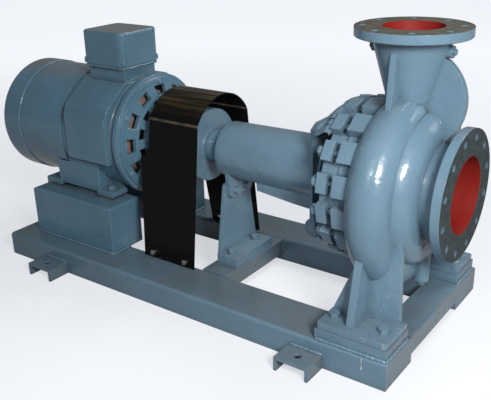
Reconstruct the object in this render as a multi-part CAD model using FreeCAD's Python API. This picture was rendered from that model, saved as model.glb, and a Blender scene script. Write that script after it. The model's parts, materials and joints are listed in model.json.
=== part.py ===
import FreeCAD, Part
import math
import os

# An end-suction water pump on a steel skid, driven by an open drip-proof motor
# through a pin and bush coupling. All sizes are in millimetres.
# Everything is drawn from the point where the shaft line crosses the discharge axis:
# X runs along the shaft towards the suction flange, Z is up.
# save() then moves each piece so that the origin is the middle of the footprint, on the floor.

Vector = FreeCAD.Vector
ALONG = Vector(1, 0, 0)
ACROSS = Vector(0, 1, 0)
UP = Vector(0, 0, 1)
ORIGIN = Vector(0, 0, 0)

# Clearances and joints
gasket_thickness = 1.5
shaft_gap = 0.3            # between a turning piece and a still one
seat_gap = 0.05            # between two pieces that turn or stand together
bolt_gap = 0.9             # between a bolt's shank and its hole
thread_gap = 0.15          # between a thread and its tapped hole

# Skid
skid_length = 1400.0
skid_width = 610.0
skid_overhang = 115.0      # from the discharge axis to the rails' suction end
rail_width = 150.0
rail_height = 75.0
rail_wall = 8.0
rail_edge_radius = 9.0
cross_width = 90.0
middle_cross_shift = 20.0  # of the middle one, from the bearing pedestal's face
cross_height = 50.0
cross_wall = 8.0
anchor_spacing = 950.0
anchor_length = 100.0
anchor_reach = 75.0
anchor_height = 40.0
anchor_wall = 8.0
anchor_hole_radius = 11.0

# Pump outline
pump_centre_height = 315.0
pump_pad_thickness = 28.0
suction_reach = 165.0
discharge_reach = 405.0
pump_shaft_reach = 670.0
suction_bore_radius = 100.0
suction_flange_radius = 170.0
suction_flange_thickness = 26.0
suction_bolt_radius = 147.5
suction_bolt_count = 12
discharge_bore_radius = 75.0
discharge_flange_radius = 142.5
discharge_flange_thickness = 24.0
discharge_bolt_radius = 120.0
discharge_bolt_count = 8
flange_hole_radius = 11.0

# Volute
volute_wall = 11.0
volute_start_angle = 96.0
volute_end_angle = 425.0   # where the spiral has faded into the throat
volute_start_radius = 180.0
volute_growth = 0.24       # growth of the spiral's centre radius for each degree
volute_fade = 0.85         # how fast its centre radius shrinks again past the throat
volute_half_width = 60.0
throat_bend = 100.0
volute_root_radius = 140.0
neck_base_height = 280.0
neck_root_height = 225.0
neck_root_radius = 56.0
neck_top_radius = 97.0
shoulder_x = 58.0
shoulder_radius = 203.0
nozzle_x = 98.0
nozzle_radius = 131.0
neck_rib_thickness = 15.0
side_rib_thickness = 18.0
gauge_boss_z = 350.0
gauge_boss_reach = 104.0
gauge_boss_radius = 15.0
gauge_plug_radius = 6.5
drain_x = 64.0             # drain plug under the volute
drain_z = -262.0
drain_radius = 12.0
drain_boss_wall = 10.0
drain_boss_length = 80.0
neck_rib_top_drop = 14.0   # of the near rib's top, below the flange
neck_flange_fillet = 12.0
discharge_straight = 45.0  # cylindrical length of the discharge bore

# Joint between casing, cover and bearing bracket
joint_x = -94.0           # casing face that the cover sits on
cover_rim_thickness = 20.0
casing_lug_depth = 46.0
bracket_lug_depth = 30.0
joint_stud_count = 16
joint_stud_radius = 8.0
joint_bolt_radius = 194.0
casing_ring_radius = 197.0
casing_lug_radius = 221.0
casing_lug_width = 56.0
bracket_ring_radius = 192.0
bracket_lug_radius = 214.0
bracket_lug_width = 52.0
cover_bore_radius = 172.0
joint_nut_flats = 27.0
joint_nut_height = 14.0

# Pump feet
foot_thickness = 18.0
foot_centre_x = 8.5
foot_length = 193.0
foot_outer_y = 292.0
foot_inner_y = 172.0
foot_corner = 5.0
foot_bolt_spacing = 138.0
foot_bolt_centre_x = 5.0
foot_bolt_y = 240.0
foot_bolt_radius = 9.0
web_thickness = 15.0
foot_rib_thickness = 20.0
foot_rib_x = -6.0
pad_margin = 3.0
left_web_y = 203.0         # inner face of the left web, at the foot
left_web_high_y = 184.0
left_web_top_z = -140.0
left_web_top_width = 16.0
right_web_high_y = 160.0
right_web_top_z = -71.0
right_web_setback = 13.0   # from the foot's end
right_web_top_setback = 25.0
foot_rib_knee_z = -128.0
foot_rib_top_z = -60.0
foot_bolt_reach = 60.0

# Stuffing box, shaft and impeller
impeller_radius = 158.0
impeller_exit_width = 32.0
impeller_shroud = 7.0
impeller_eye_radius = 92.0
impeller_vanes = 6
impeller_vane_thickness = 6.0
impeller_bore_radius = 20.0
impeller_hub_radius = 34.0
impeller_hub_length = 10.0 # behind the cover's face
impeller_nut_x = 18.0
shaft_end_x = 44.0
shaft_thread_radius = 13.0
impeller_key_half = 5.0    # half its width
wear_ring_thickness = 8.0
cover_wall_x = -36.0       # cover face behind the impeller
cover_wall = 12.0
sleeve_radius = 27.0
sleeve_bore_radius = 22.0
packing_radius = 37.0
packing_width = 9.0
packing_rings_inside = 2
packing_rings_outside = 2
box_radius = 62.0
box_throat_x = -108.0
neck_bush_radius = 27.6
gland_flange_thickness = 10.0
gland_stud_radius = 6.0
gland_stud_circle = 74.0
gland_boss_radius = 13.0
gland_boss_length = 40.0
gland_ear_radius = 15.0
gland_nut_flats = 18.0
gland_nut_height = 10.0
sleeve_start_x = -190.0
water_thrower_x = -204.5

# Bearing bracket
bracket_wall_x = -231.0    # flat wall between the lantern and the bearing tube
bracket_wall = 15.0
lantern_half_width = 88.0  # of the wall
lantern_top = 146.0
lantern_bottom = 121.0
lantern_corner_radius = 158.0
lantern_large_radius = 207.0
lantern_wall = 11.0
lantern_rim_length = 20.0  # straight rim of the lantern, before the flange
lantern_bend = 0.33        # how much of its flare it has at the bend
lantern_bend_place = 0.6   # where the bend is, from the wall to the rim
window_top = 116.0         # at the wall
window_bottom = 91.0
window_large_half = 160.0  # at the flange
window_corner = 12.0
nut_pocket_radius = 17.0
tube_end_x = -550.0
tube_end_radius = 84.0
tube_root_radius = 88.0
bearing_outer_radius = 55.0
bearing_bore_radius = 25.0
bearing_width = 27.0
ball_radius = 9.5
ball_count = 8
race_reach = 0.55          # of a ball's radius, from its pitch circle to a ring's shoulder
oil_chamber_radius = 64.0
bearing_cover_thickness = 12.0
cover_screw_circle = 70.0
cover_screw_radius = 5.0
cover_screw_count = 4
filler_x = -392.0
filler_radius = 9.0
filler_turn = -69.0        # from straight up towards the far side
drip_x = -212.0            # outlet for water that leaks from the gland
drip_z = -142.0
drip_face_y = -98.0
drip_boss_radius = 28.0
drip_hole_radius = 14.0
drip_boss_length = 70.0
sump_start_x = -435.0
sump_start_depth = 96.0
oil_plug_x = -286.0
oil_plug_z = -121.0
oil_plug_radius = 8.0
oil_boss_radius = 17.0
sump_wall = 8.0
sump_half_width = 44.0
shaft_middle_radius = 29.0
coupling_shaft_radius = 24.0

# Bearing pedestal
pedestal_x = -540.0
pedestal_thickness = 14.0
pedestal_foot_half = 95.0
pedestal_head_half = 60.0
pedestal_base_thickness = 14.0
pedestal_packer_thickness = 16.0
support_lug_depth = 138.0
support_lug_half = 56.0
support_lug_thickness = 15.0
support_bolt_y = 28.0
support_bolt_z = -119.0
support_bolt_radius = 7.0
pedestal_foot_reach = 60.0 # of its foot, in front of the upright
pedestal_head_above = 26.0 # top of the upright, above the support bolts
pedestal_bolt_x = -521.0
pedestal_bolt_y = 62.0
pedestal_bolt_radius = 8.0

# Coupling
coupling_gap = 5.0
coupling_radius = 112.0
coupling_flange_thickness = 42.0
coupling_hub_radius = 51.0
coupling_hub_length = 92.0
coupling_pin_count = 8
coupling_pin_circle = 84.0
coupling_pin_radius = 9.0
coupling_bush_radius = 17.0
key_width = 14.0
key_height = 9.0
key_length = 80.0
key_inset = 6.0            # from the shaft's end
pin_turn = 22.5            # of the first pin, from straight up

# Guard
guard_sheet = 3.0
guard_right_x = -586.0
guard_left_x = -770.0
guard_arch_radius = 143.0
guard_bend_y = 124.0
guard_bend_z = 93.0
guard_foot_y = 176.0
guard_step_x = -804.0
guard_step_top_z = 6.0
guard_step_low_z = -40.0
guard_foot_left_x = -783.0
guard_foot_right_x = -583.0
guard_tab = 34.0
guard_screw_radius = 5.0
guard_screw_inset = 36.0   # from the leg's edge
guard_screw_height = 16.0
guard_angle_thickness = 4.0
guard_angle_height = 30.0

# Motor
motor_shaft_height = 180.0
motor_shim_thickness = 7.0
motor_shaft_radius = 24.0
motor_shaft_extension = 110.0
motor_foot_spacing = 241.0
motor_foot_tuck = 46.5     # of the foot bolts, in from the frame's side
motor_foot_half_width = 34.0
motor_foot_hole_x = 160.0  # from the shaft shoulder to the first foot hole
motor_foot_bolt_radius = 7.0
motor_foot_length = 70.0
motor_foot_thickness = 16.0
motor_frame_radius = 186.0
motor_frame_bore = 152.0
motor_panel_y = 196.0
shield_ring_radius = 192.0
shield_face_radius = 173.0
shield_length = 100.0
shield_slots = 12
outer_slot_low = 134.0
outer_slot_high = 163.0
outer_slot_width = 50.0
inner_slot_low = 98.0
inner_slot_high = 124.0
inner_slot_width = 34.0
fan_shield_slots = 10
cover_slots = 20
motor_frame_length = 220.0
motor_cheek_length = 188.0
shroud_sheet = 3.0
shroud_length = 214.0
fan_cover_length = 86.0
fan_cover_corner = 26.0
core_length = 180.0
core_setback = 105.0       # of its middle, from the drive end of the frame
motor_bearing_outer = 60.0
motor_bearing_bore = 27.5
motor_bearing_width = 29.0
motor_ball_radius = 11.0
rotor_shaft_radius = 33.0
rotor_radius = 94.0
air_gap = 0.6
winding_reach = 34.0
fan_radius = 150.0
fan_blades = 8
fan_setback = 13.0         # of the fan, from the shroud's outer end
fan_hub_radius = 38.0
terminal_box_length = 178.0
terminal_box_width = 165.0
terminal_box_height = 113.0
terminal_box_corner = 24.0
terminal_neck_height = 40.0
terminal_box_base_z = 216.0
terminal_box_y = -8.0
terminal_box_reach = 98.0  # from the drive end of the frame to the box's middle
terminal_lid_height = 34.0
terminal_box_wall = 5.0
terminal_floor = 7.0
gland_height = 46.0        # of the cable glands, above the box's base
cable_gland_radius = 16.0
cable_gland_half = 38.0    # half the distance between them
lid_edge_radius = 7.0

# Motor pedestals
pedestal_box_length = 360.0
pedestal_box_shift = 20.0  # of its middle from the middle of the motor's feet
pedestal_box_outer_y = 233.0
pedestal_box_inner_y = 100.0
pedestal_box_wall = 8.0

# Stations worked out from the sizes above
floor_z = -(rail_height + pump_pad_thickness + pump_centre_height)
rail_top_z = floor_z + rail_height
pad_top_z = rail_top_z + pump_pad_thickness
foot_top_z = pad_top_z + foot_thickness
rail_right_x = skid_overhang
rail_left_x = skid_overhang - skid_length
rail_outer_y = skid_width / 2
rail_inner_y = rail_outer_y - rail_width
foot_left_x = foot_centre_x - foot_length / 2
foot_right_x = foot_centre_x + foot_length / 2
cover_rim_x = joint_x - cover_rim_thickness
bracket_lug_x = cover_rim_x - bracket_lug_depth
wear_ring_seat = impeller_eye_radius + shaft_gap + wear_ring_thickness
packing_count = packing_rings_inside + packing_rings_outside + 1
gland_nose_x = box_throat_x - packing_count * packing_width
box_end_x = gland_nose_x - 6
gland_flange_x = box_end_x - 8
pump_shaft_end = -pump_shaft_reach
drive_bearing_x = tube_end_x + 5
pump_bearing_x = bracket_wall_x - 7 - bearing_width
bearing_pitch = (bearing_outer_radius + bearing_bore_radius) / 2
impeller_hub_x = cover_wall_x - impeller_hub_length
lantern_rim_x = bracket_lug_x - lantern_rim_length
pump_hub_x = pump_shaft_end
motor_shaft_end = pump_shaft_end - coupling_gap
motor_shoulder_x = motor_shaft_end - motor_shaft_extension
shield_back_x = motor_shoulder_x - shield_length
motor_frame_x = shield_back_x - motor_frame_length
shroud_x = motor_frame_x - shroud_length
motor_end_x = shroud_x - fan_cover_length
motor_foot_half = motor_frame_radius - motor_foot_tuck
motor_foot_z = -motor_shaft_height
motor_shim_z = motor_foot_z - motor_shim_thickness
first_foot_x = motor_shoulder_x - motor_foot_hole_x
second_foot_x = first_foot_x - motor_foot_spacing
core_centre_x = shield_back_x - core_setback
terminal_box_x = shield_back_x - terminal_box_reach
lid_z = terminal_box_base_z + terminal_floor
gland_z = terminal_box_base_z + gland_height
drive_motor_bearing_x = motor_shoulder_x - 15 - motor_bearing_width
fan_motor_bearing_x = motor_frame_x - 50 - motor_bearing_width
motor_bearing_pitch = (motor_bearing_outer + motor_bearing_bore) / 2
fan_x = shroud_x + fan_setback
record_shift = Vector(-(suction_reach + motor_end_x) / 2, 0, -floor_z)


def save(name, shapes):
    """Write one node: a list of separate solids, moved to the footprint's origin."""
    solids = []
    for shape in shapes:
        solids.extend(shape.Solids)
    node = solids[0] if len(solids) == 1 else Part.makeCompound(solids)
    node = node.copy()
    node.translate(record_shift)
    node.exportStep("parts/" + name + ".step")


def box(x0, x1, y0, y1, z0, z1):
    return Part.makeBox(x1 - x0, y1 - y0, z1 - z0, Vector(x0, y0, z0))


def disc(x0, x1, radius):
    return Part.makeCylinder(radius, x1 - x0, Vector(x0, 0, 0), ALONG)


def ring(x0, x1, outer, inner):
    return disc(x0, x1, outer).cut(disc(x0 - 1, x1 + 1, inner))


def rod(start, direction, radius, length):
    return Part.makeCylinder(radius, length, start, direction)


def outline(points, place):
    """Edges through the points; a point that starts with 'arc' bends through its middle."""
    edges = []
    last = place(points[0])
    first = last
    for point in points[1:]:
        if point[0] == "arc":
            middle = place(point[1])
            end = place(point[2])
            edges.append(Part.Arc(last, middle, end).toShape())
        else:
            end = place(point)
            edges.append(Part.makeLine(last, end))
        last = end
    if last.distanceToPoint(first) > 1e-6:
        edges.append(Part.makeLine(last, first))
    return Part.Face(Part.Wire(edges))


def softened(corners, radius):
    """Closed outline through the corners with each of them rounded."""
    points = []
    for k, corner in enumerate(corners):
        here = Vector(corner[0], corner[1], 0)
        before = Vector(corners[k - 1][0], corners[k - 1][1], 0)
        after = Vector(corners[(k + 1) % len(corners)][0], corners[(k + 1) % len(corners)][1], 0)
        back = (before - here).normalize()
        ahead = (after - here).normalize()
        half = back.getAngle(ahead) / 2
        start = here + back * (radius / math.tan(half))
        end = here + ahead * (radius / math.tan(half))
        middle = here + (back + ahead).normalize() * (radius / math.sin(half) - radius)
        points.append((start.x, start.y))
        points.append(("arc", (middle.x, middle.y), (end.x, end.y)))
    return points


def turned(points):
    """Solid of revolution about the shaft from (x, radius) corners."""
    face = outline(points, lambda p: Vector(p[0], 0, p[1]))
    return face.revolve(ORIGIN, ALONG, 360)


def turned_up(points):
    """Solid of revolution about the discharge axis from (radius, z) corners."""
    face = outline(points, lambda p: Vector(p[0], 0, p[1]))
    return face.revolve(ORIGIN, UP, 360)


def plate_across(x0, x1, points):
    """Plate square to the shaft from (y, z) corners."""
    face = outline(points, lambda p: Vector(x0, p[0], p[1]))
    return face.extrude(Vector(x1 - x0, 0, 0))


def plate_along(y0, y1, points):
    """Upright plate in line with the shaft from (x, z) corners."""
    face = outline(points, lambda p: Vector(p[0], y0, p[1]))
    return face.extrude(Vector(0, y1 - y0, 0))


def plate_flat(z0, z1, points):
    """Level plate from (x, y) corners."""
    face = outline(points, lambda p: Vector(p[0], p[1], z0))
    return face.extrude(Vector(0, 0, z1 - z0))


def hexagon(start, direction, flats, height):
    """Six-sided prism, as a bolt head or a nut."""
    side = ACROSS if abs(direction.dot(ACROSS)) < 0.9 else ALONG
    other = direction.cross(side)
    corner = flats / math.sqrt(3)
    points = []
    for k in range(7):
        turn = math.radians(60 * k)
        points.append(start + side * (corner * math.cos(turn)) + other * (corner * math.sin(turn)))
    return Part.Face(Part.makePolygon(points)).extrude(direction * height)


def hex_bolt(seat, direction, radius, reach):
    """Bolt whose head sits on seat and points along direction, with reach below the seat."""
    head = hexagon(seat, direction, radius * 3, radius * 1.3)
    shank = rod(seat - direction * reach, direction, radius, reach + radius)
    return head.fuse(shank).removeSplitter()


def turned_copies(shape, count, first=0.0, direction=ALONG):
    """Copies of a shape round the shaft, or round another axis through the origin."""
    copies = []
    for k in range(count):
        copy = shape.copy()
        copy.rotate(ORIGIN, direction, first + 360.0 * k / count)
        copies.append(copy)
    return copies


def mirrored(shape):
    """The same piece on the far side of the shaft."""
    return shape.mirror(ORIGIN, ACROSS)


def both_sides(shape):
    return [shape, mirrored(shape)]


def fuse_all(shapes):
    return shapes[0].fuse(shapes[1:]).removeSplitter()


def cut_all(shape, tools):
    return shape.cut(Part.makeCompound(tools))


# Skid

def rail():
    """Channel with its web up, its legs on the floor and a plate welded in each end."""
    outer = box(rail_left_x, rail_right_x, -rail_outer_y, -rail_inner_y, floor_z, rail_top_z)
    top_edges = []
    for edge in outer.Edges:
        along = abs(edge.tangentAt(edge.FirstParameter).x) > 0.9
        if along and edge.BoundBox.ZMin > rail_top_z - 1:
            top_edges.append(edge)
    outer = outer.makeFillet(rail_edge_radius, top_edges)
    hollow = box(rail_left_x + rail_wall, rail_right_x - rail_wall, -rail_outer_y + rail_wall,
                 -rail_inner_y - rail_wall, floor_z - 1, rail_top_z - rail_wall)
    tools = [hollow]
    for x in foot_bolt_places():
        tools.append(rod(Vector(x, -foot_bolt_y, rail_top_z - 40), UP, foot_bolt_radius + thread_gap, 60))
    return cut_all(outer, tools)


def cross_member(centre_x):
    """Channel between the rails, flush with their tops."""
    half = cross_width / 2
    outer = box(centre_x - half, centre_x + half, -rail_inner_y, rail_inner_y,
                rail_top_z - cross_height, rail_top_z)
    hollow = box(centre_x - half + cross_wall, centre_x + half - cross_wall,
                 -rail_inner_y - 1, rail_inner_y + 1,
                 rail_top_z - cross_height - 1, rail_top_z - cross_wall)
    tools = [hollow]
    if abs(pedestal_bolt_x - centre_x) < half:
        for side in (-1, 1):
            tools.append(rod(Vector(pedestal_bolt_x, side * pedestal_bolt_y, rail_top_z - 20), UP,
                             pedestal_bolt_radius + bolt_gap, 21))
    return cut_all(outer, tools)


def anchor_lug(centre_x):
    """Short channel on the rail's outer face with a hole for a foundation bolt."""
    half = anchor_length / 2
    outer = box(centre_x - half, centre_x + half, -rail_outer_y - anchor_reach, -rail_outer_y,
                floor_z, floor_z + anchor_height)
    hollow = box(centre_x - half + anchor_wall, centre_x + half - anchor_wall,
                 -rail_outer_y - anchor_reach - 1, -rail_outer_y + 1,
                 floor_z - 1, floor_z + anchor_height - anchor_wall)
    hole = rod(Vector(centre_x, -rail_outer_y - anchor_reach / 2, floor_z), UP,
               anchor_hole_radius, anchor_height + 1)
    return cut_all(outer, [hollow, hole])


def foot_bolt_places():
    half = foot_bolt_spacing / 2
    return [foot_bolt_centre_x - half, foot_bolt_centre_x + half]


def pump_pad():
    """Machined pad under a pump foot, welded on the rail."""
    pad = box(foot_left_x - pad_margin, foot_right_x + pad_margin, -foot_outer_y - pad_margin,
              -foot_inner_y + pad_margin, rail_top_z, pad_top_z)
    tools = []
    for x in foot_bolt_places():
        tools.append(rod(Vector(x, -foot_bolt_y, rail_top_z - 1), UP,
                         foot_bolt_radius + thread_gap, pump_pad_thickness + 2))
    return cut_all(pad, tools)


def motor_pedestal():
    """Folded plate box, open below, that lifts the motor's near feet above the rail."""
    centre = (first_foot_x + second_foot_x) / 2 + pedestal_box_shift
    x0 = centre - pedestal_box_length / 2
    x1 = centre + pedestal_box_length / 2
    wall = pedestal_box_wall
    outer = box(x0, x1, -pedestal_box_outer_y, -pedestal_box_inner_y, rail_top_z, motor_shim_z)
    rounded = []
    for edge in outer.Edges:
        if edge.BoundBox.ZMin > motor_shim_z - 1:
            rounded.append(edge)
    outer = outer.makeFillet(wall, rounded)
    hollow = box(x0 + wall, x1 - wall, -pedestal_box_outer_y + wall, -pedestal_box_inner_y - wall,
                 rail_top_z - 1, motor_shim_z - wall)
    tools = [hollow]
    for x in (first_foot_x, second_foot_x):
        tools.append(rod(Vector(x, -motor_foot_half, motor_shim_z - 2 * wall), UP,
                         motor_foot_bolt_radius + bolt_gap, 3 * wall))
    return cut_all(outer, tools)


def motor_shim(x):
    half = motor_foot_length / 2
    shim = box(x - half, x + half, -motor_foot_half - motor_foot_half_width,
               -motor_foot_half + motor_foot_half_width - 4, motor_shim_z, motor_foot_z)
    hole = rod(Vector(x, -motor_foot_half, motor_shim_z - 1), UP,
               motor_foot_bolt_radius + bolt_gap, motor_shim_thickness + 2)
    return shim.cut(hole)


def build_skid():
    near = rail()
    save("front_rail", [near])
    save("rear_rail", [mirrored(near)])
    ends = (rail_left_x + cross_width / 2, rail_right_x - cross_width / 2)
    save("cross_members", [cross_member(x) for x in (ends[0], pedestal_x + middle_cross_shift, ends[1])])
    middle = (rail_left_x + rail_right_x) / 2
    lugs = []
    for x in (middle - anchor_spacing / 2, middle + anchor_spacing / 2):
        lugs.extend(both_sides(anchor_lug(x)))
    save("anchor_lugs", lugs)
    save("pump_pads", both_sides(pump_pad()))
    save("motor_pedestals", both_sides(motor_pedestal()))
    shims = both_sides(motor_shim(first_foot_x)) + both_sides(motor_shim(second_foot_x))
    save("motor_shims", shims)


# Pump casing

def spiral_reach(angle):
    """Radius of the spiral's centre line at an angle about the shaft, counted from +Y."""
    if angle <= 360:
        return volute_start_radius + volute_growth * (angle - volute_start_angle)
    return spiral_reach(360) - volute_fade * (angle - 360)


def spiral_section(angle, shrink):
    """Arch-shaped section of the volute: round outside, straight sides inwards."""
    turn = math.radians(angle)
    half = volute_half_width - shrink

    def place(point):
        return Vector(point[0], point[1] * math.cos(turn), point[1] * math.sin(turn))

    reach = spiral_reach(angle)
    root = volute_root_radius + shrink
    face = outline([(-half, root), (-half, reach), ("arc", (0, reach + half), (half, reach)),
                    (half, root)], place)
    return face.OuterWire


def spiral(shrink, end_angle):
    """The spiral part of the volute, a loft that grows as it goes round."""
    steps = 9
    span = end_angle - volute_start_angle
    sections = [spiral_section(volute_start_angle + span * k / steps, shrink) for k in range(steps + 1)]
    return Part.makeLoft(sections, True, False)


def throat(shrink):
    """Two bends that carry the spiral's end over into the upright discharge neck."""
    reach = spiral_reach(360)
    lead = 3.0
    turn = 2 * math.degrees(math.atan(reach / neck_base_height))
    both_bends = neck_base_height / math.sin(math.radians(turn))
    first_centre = Vector(0, reach - (both_bends - throat_bend), 0)
    radius = volute_half_width - shrink - 0.6
    mouth = Part.Face(Part.Wire(Part.makeCircle(radius, Vector(0, reach, 0), UP)))
    mouth.rotate(first_centre, ALONG, -lead)
    lower = mouth.revolve(first_centre, ALONG, turn + lead)
    middle = mouth.copy()
    middle.rotate(first_centre, ALONG, turn + lead)
    upper = middle.revolve(Vector(0, throat_bend, neck_base_height), ALONG, -turn)
    return lower.fuse(upper)


def volute(shrink, end_angle):
    return [spiral(shrink, end_angle), throat(shrink)]


def casing_outside():
    """Everything of the casting that is turned about the shaft."""
    flange_x = suction_reach - suction_flange_thickness
    bulge = (shoulder_x + (nozzle_x - shoulder_x) * 0.75,
             nozzle_radius + (shoulder_radius - nozzle_radius) * 0.7)
    return turned([
        (joint_x, 0), (joint_x, casing_ring_radius),
        (joint_x + casing_lug_depth, casing_ring_radius),
        (joint_x + casing_lug_depth, volute_root_radius + 30),
        (shoulder_x, volute_root_radius + 30), (shoulder_x, shoulder_radius),
        ("arc", bulge, (nozzle_x, nozzle_radius)),
        (flange_x - 12, nozzle_radius),
        ("arc", (flange_x - 3.5, nozzle_radius + 3.5), (flange_x, nozzle_radius + 12)),
        (flange_x, suction_flange_radius - 2),
        (flange_x + 2, suction_flange_radius),
        (suction_reach, suction_flange_radius), (suction_reach, 0)])


def lug_ring(x0, x1, outer_radius, width):
    """Square bosses for the joint's studs, evenly round the shaft."""
    lug = box(x0, x1, -width / 2, width / 2, joint_bolt_radius - 40, outer_radius)
    return turned_copies(lug, joint_stud_count, 180.0 / joint_stud_count)


def stud_holes(x0, x1, radius):
    hole = rod(Vector(x0, 0, joint_bolt_radius), ALONG, radius, x1 - x0)
    return turned_copies(hole, joint_stud_count, 180.0 / joint_stud_count)


def neck():
    """Discharge neck and its flange, turned about the discharge axis."""
    flange_z = discharge_reach - discharge_flange_thickness
    fillet = neck_flange_fillet
    return turned_up([
        (0, neck_root_height), (neck_root_radius, neck_root_height),
        (neck_top_radius, flange_z - fillet),
        ("arc", (neck_top_radius + 4, flange_z - 4), (neck_top_radius + fillet, flange_z)),
        (discharge_flange_radius - 2, flange_z), (discharge_flange_radius, flange_z + 2),
        (discharge_flange_radius, discharge_reach), (0, discharge_reach)])


def neck_hollow():
    """Passage that widens up to the discharge bore."""
    return turned_up([
        (0, neck_root_height + 8), (neck_root_radius - volute_wall, neck_root_height + 8),
        (discharge_bore_radius, discharge_reach - discharge_straight),
        (discharge_bore_radius, discharge_reach + 1), (0, discharge_reach + 1)])


def neck_ribs():
    """The upright rib on the near side and the curved one above the suction nozzle."""
    half = neck_rib_thickness / 2
    top = discharge_reach - discharge_flange_thickness - neck_rib_top_drop
    front = plate_across(-half - 6, half - 6, [
        (-60, top + 8), (-90, top), (-97, top - 42), (-103, top - 95),
        (-112, 190), (-112, 140), (-40, 140)])
    half = side_rib_thickness / 2
    side = plate_along(-half, half, [
        (60, top - 22), (96, top - 37), ("arc", (143, 258), (nozzle_x + 8, nozzle_radius + 4)),
        (nozzle_x, nozzle_radius - 6), (40, 150)])
    return [front, side]


def gauge_bosses():
    """Small flat bosses on both sides of the neck, under its flange, for pressure gauges."""
    reach = gauge_boss_reach
    return rod(Vector(-reach, 0, gauge_boss_z), ALONG, gauge_boss_radius, 2 * reach)


def gauge_plugs():
    """Square-headed plugs in the gauge bosses."""
    plugs = []
    for way in (-1, 1):
        seat = Vector(way * gauge_boss_reach, 0, gauge_boss_z)
        head = hexagon(seat, ALONG * way, 14, 7)
        stem = rod(seat - ALONG * way * 12, ALONG * way, gauge_plug_radius, 14)
        plugs.append(fuse_all([head, stem]))
    return plugs


def leaning_web(low, high, high_z):
    """Plate from the foot up to the casing; low and high are its left and right x and its inner face's y."""
    corners = []
    for (left, right, y), z in ((low, foot_top_z - 1), (high, high_z)):
        corners.append(Part.makePolygon([
            Vector(left, y - web_thickness, z), Vector(right, y - web_thickness, z),
            Vector(right, y, z), Vector(left, y, z), Vector(left, y - web_thickness, z)]))
    return Part.makeLoft(corners, True, True)


def foot():
    """Near foot: plate, a leaning web on each side and the rib between them."""
    corner = foot_corner
    plate = plate_flat(pad_top_z, foot_top_z, [
        (foot_left_x, -foot_inner_y), (foot_left_x, -foot_outer_y + corner),
        (foot_left_x + corner, -foot_outer_y), (foot_right_x - corner, -foot_outer_y),
        (foot_right_x, -foot_outer_y + corner), (foot_right_x, -foot_inner_y)])
    low = foot_top_z - 1
    half = foot_rib_thickness / 2
    rib = plate_across(foot_rib_x - half, foot_rib_x + half, [
        (-foot_inner_y, low), (-foot_outer_y + 22, low), (-foot_outer_y + 60, foot_rib_knee_z),
        (-foot_outer_y + 90, foot_rib_top_z), (-140, foot_rib_top_z), (-140, -170)])
    left_web = leaning_web((foot_left_x + 4, foot_rib_x, -left_web_y),
                           (foot_rib_x - left_web_top_width, foot_rib_x, -left_web_high_y), left_web_top_z)
    right_web = leaning_web((foot_rib_x, foot_right_x - right_web_setback, -foot_inner_y - 3),
                            (foot_rib_x, foot_right_x - right_web_top_setback, -right_web_high_y),
                            right_web_top_z)
    return [plate, left_web, right_web, rib]


def casing_hollow():
    """Chamber, eye and suction passage, turned about the shaft."""
    front = impeller_exit_width / 2 + impeller_shroud + 7
    return turned([
        (joint_x - 1, 0), (joint_x - 1, cover_bore_radius), (cover_wall_x + 2, cover_bore_radius),
        (-front, cover_bore_radius + 14), (front, cover_bore_radius + 14),
        (front, cover_bore_radius - 20), (shoulder_x - 18, wear_ring_seat + 8),
        (shoulder_x - 18, wear_ring_seat), (shoulder_x, wear_ring_seat),
        (shoulder_x, impeller_eye_radius - 6),
        (nozzle_x, suction_bore_radius), (suction_reach + 1, suction_bore_radius),
        (suction_reach + 1, 0)])


def flange_holes():
    tools = []
    flange_x = suction_reach - suction_flange_thickness
    hole = rod(Vector(flange_x - 1, 0, suction_bolt_radius), ALONG, flange_hole_radius,
               suction_flange_thickness + 2)
    tools.extend(turned_copies(hole, suction_bolt_count, 180.0 / suction_bolt_count))
    flange_z = discharge_reach - discharge_flange_thickness
    hole = rod(Vector(discharge_bolt_radius, 0, flange_z - 1), UP, flange_hole_radius,
               discharge_flange_thickness + 2)
    tools.extend(turned_copies(hole, discharge_bolt_count, 180.0 / discharge_bolt_count, UP))
    return tools


def volute_casing():
    pieces = [casing_outside()]
    pieces.extend(lug_ring(joint_x, joint_x + casing_lug_depth, casing_lug_radius, casing_lug_width))
    pieces.extend(volute(0.0, volute_end_angle))
    pieces.append(neck())
    pieces.extend(neck_ribs())
    pieces.append(gauge_bosses())
    for piece in foot():
        pieces.extend(both_sides(piece))
    pieces.append(rod(Vector(drain_x, 0, drain_z), UP, drain_radius + drain_boss_wall, drain_boss_length))
    casting = pieces[0]
    for piece in pieces[1:]:
        casting = casting.fuse(piece)
    tools = volute(volute_wall, 360)
    tools.append(casing_hollow())
    tools.append(neck_hollow())
    tools.extend(flange_holes())
    tools.extend(stud_holes(joint_x - 1, joint_x + casing_lug_depth - 8, joint_stud_radius + thread_gap))
    tools.append(rod(Vector(drain_x, 0, drain_z - 1), UP, drain_radius + thread_gap,
                     drain_boss_length + 10))
    tools.append(rod(Vector(-gauge_boss_reach - 1, 0, gauge_boss_z), ALONG,
                     gauge_plug_radius + thread_gap, 2 * gauge_boss_reach + 2))
    for x in foot_bolt_places():
        for side in (-1, 1):
            tools.append(rod(Vector(x, side * foot_bolt_y, pad_top_z - 1), UP,
                             foot_bolt_radius + bolt_gap, foot_thickness + 2))
    for tool in tools:
        casting = casting.cut(tool)
    return casting


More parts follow.
